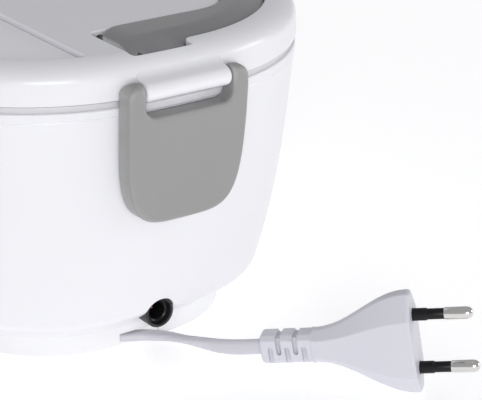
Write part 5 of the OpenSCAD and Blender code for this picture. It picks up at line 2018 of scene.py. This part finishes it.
    def plug(self) -> bpy.types.Object:
        """Build the plug's body with its notched strain relief."""
        body = self.plug_length - self.relief
        tail = -self.plug_length
        half, stub = self.relief_half, self.relief_bevel
        rings = [self.section(tail, (half[0] - 0.9, half[1] - 0.9), stub, 0.7),
                 self.section(tail + 0.3, (half[0] - 0.35, half[1] - 0.35), stub, 0.8),
                 self.section(tail + 0.9, half, stub), self.section(-body - 0.5, half, stub),
                 self.section(-body - 0.1, (half[0] + 0.3, half[1] + 0.45), stub)]
        for i in range(self.flare_steps + 1):
            t = i / self.flare_steps
            flare = (1 - math.cos(math.pi * t)) / 2
            size = tuple(n + (p - n) * flare for n, p in zip(self.neck_half, self.plug_half))
            rings.append(self.section(-body + 0.4 + (body - 1.6) * t, size, self.plug_bevel, 0.8))
        wide, tall = self.plug_half
        rings += [self.section(-0.7, (wide - 0.08, tall - 0.1), self.plug_bevel, 0.8),
                  self.section(-0.25, (wide - 0.35, tall - 0.45), self.plug_bevel, 0.8),
                  self.section(0.0, (wide - 0.8, tall - 1.0), self.plug_bevel, 0.8)]
        plug = Solid(self.placed(Form().loft(rings)))
        for k in range(self.slot_count):
            low, high = self.upper_slot if k % 2 else self.lower_slot
            x = tail + self.slot_start + k * self.slot_pitch
            if k % 2:
                outline = arc((low, x), self.slot, 270, 90, 8) + [(high, x + self.slot), (high, x - self.slot)]
            else:
                outline = arc((high, x), self.slot, 90, -90, 8) + [(low, x - self.slot), (low, x + self.slot)]
            for side in (-1, 1):
                reach = sorted((side * (half[0] - self.slot_depth), side * self.slot_reach))
                cut = Form().loft([[(b, y, a) for a, b in outline] for y in reach])
                plug = plug - Solid(self.placed(cut))
            if k % 2:
                crown = cuboid((x - self.slot, -self.slot_reach, half[1] - self.crown_depth),
                               (x + self.slot, self.slot_reach, half[1] + 2.0))
                plug = plug - Solid(self.placed(crown))
        for side in (-1, 1):
            hole = prism(circle((0.0, side * self.pin_gap / 2), 2.1, 32), Axis.X, -6.0, 1.0)
            plug = plug - Solid(self.placed(hole))
        return soften(plug.named("plug_shell"), 0.22, 2, 40)

    def pins(self) -> tuple[bpy.types.Object, bpy.types.Object]:
        """Build the pins' black sleeves and their metal ends.

        Returns:
            The sleeves, then the pins.
        """
        sleeves, metal = Form(), Form()
        for side in (-1, 1):
            z = side * self.pin_gap / 2
            for form, profile in (
                (sleeves, [(1.42, -5.9), (2.0, -5.9), (2.0, 4.1), (1.97, 4.4), (1.75, 4.6), (1.75, 9.7), (1.6, 10.0),
                           (1.42, 10.0)]),
                (metal, [(0.02, -5.9), (1.4, -5.9), (1.4, 10.0), (1.9, 10.0), (2.0, 10.15), (2.0, 16.6), (1.93, 17.3),
                         (1.7, 18.0), (1.3, 18.55), (0.7, 18.9), (0.02, 19.0)]),
            ):
                turns = [2 * math.pi * i / 40 for i in range(40)]
                rings = [[(x, r * math.cos(a), z + r * math.sin(a)) for a in turns] for r, x in profile]
                form.loft(rings, hoop=form is sleeves)
        made = []
        for form, name in ((sleeves, "pin_collars"), (metal, "pin_metal")):
            piece = self.placed(form).build(name)
            smooth(piece, 40)
            made.append(piece)
        return made[0], made[1]


# ---- The whole box ----


def build_lead(dresser: Dresser) -> None:
    lead = Lead()
    path = lead.path()
    cord = dresser.dress(lead.cord(path), "cord_vinyl", "base", "cord_winding", "power_cord")
    plug = dresser.dress(lead.plug(), "white_vinyl", "base", "plug_body")
    collars, metal = lead.pins()
    dresser.dress(collars, "black_plastic", "base", "pin_sleeves")
    dresser.dress(metal, "nickel", "base", "plug_pins")
    spots = [tuple(p * MM) for p in path]


def build_base(dresser: Dresser) -> None:
    """Build the base and finish the parts inside it."""
    dresser.dress(Shell().build(), "white_shell", "base", "outer_body")
    dresser.dress(BottomCover().build(), "white_base", "base", "bottom_cover")
    dresser.dress(Chamber().build(), "liner_plastic", "base", "chamber_liner")
    jack = Jack()
    dresser.dress(jack.ring(), "black_rubber", "base", "socket_bushing")
    dresser.dress(jack.barrel(), "black_plastic", "base", "dc_socket")
    dresser.dress(jack.pin(), "brass_contact", "base", "socket_pin")
    for node, slot, edge in (
        ("heating_plate", "plate_aluminium", 0.3), ("mains_heater", "heater_foil", 0.2),
        ("car_heater", "heater_foil", 0.2), ("insulation_pad", "mineral_pad", 0.5), ("heater_clamp", "zinc_steel", 0.2),
        ("clamp_screws", "zinc_steel", 0.2), ("thermostat", "phenolic", 0.25), ("thermal_fuse", "fuse_case", 0.15),
        ("wiring", "wire_sleeve", 0.1), ("cover_screws", "zinc_steel", 0.2), ("cord_gland", "white_vinyl", 0.3),
    ):
        dresser.keep(node, slot, edge)


def build_tray(dresser: Dresser) -> None:
    """Build the food tray."""
    dresser.dress(Tray().build(), "tray_steel", "tray_group", "food_tray")


def build_lid(dresser: Dresser) -> None:
    """Build the lid, what hangs under it and the loose pieces in it."""
    dresser.dress(Lid().build(), "white_shell", "lid_group", "lid")
    panel = LidPanel()
    dresser.dress(panel.panel(), "lid_inner", "lid_group", "lid_liner")
    dresser.dress(panel.gasket(), "silicone", "lid_group", "lid_gasket")
    # The handle's pins take near-black steel as painted shade in the gaps by the hubs.
    dresser.keep("handle_pins", "painted_shade_steel", 0.2)
    dresser.dress(Handle().build(), "handle_grey", "handle_group", "carry_handle")
    dresser.dress(Latch().build("front_clip", False), "latch_grey", "front_latch", "latch_front")
    dresser.dress(Latch().build("rear_clip", True), "latch_grey", "rear_latch", "latch_rear")
    store = SpoonStore()
    dresser.dress(store.cover(), "cover_grey", "cover_group", "spoon_cover")
    dresser.dress(store.spoon(), "spoon_steel", "spoon_group", "spoon")
    dresser.dress(SteamPlug().build(), "silicone", "vent_group", "steam_plug")


def main() -> None:
    """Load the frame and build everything."""
    logging.basicConfig(level=logging.INFO, format="%(name)s: %(message)s")
    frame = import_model()
    studio = Studio()
    studio.camera()
    dresser = Dresser(frame)
    build_lead(dresser)
    studio.floor()
    studio.light()
    build_base(dresser)
    build_tray(dresser)
    build_lid(dresser)


if __name__ == "__main__":
    main()
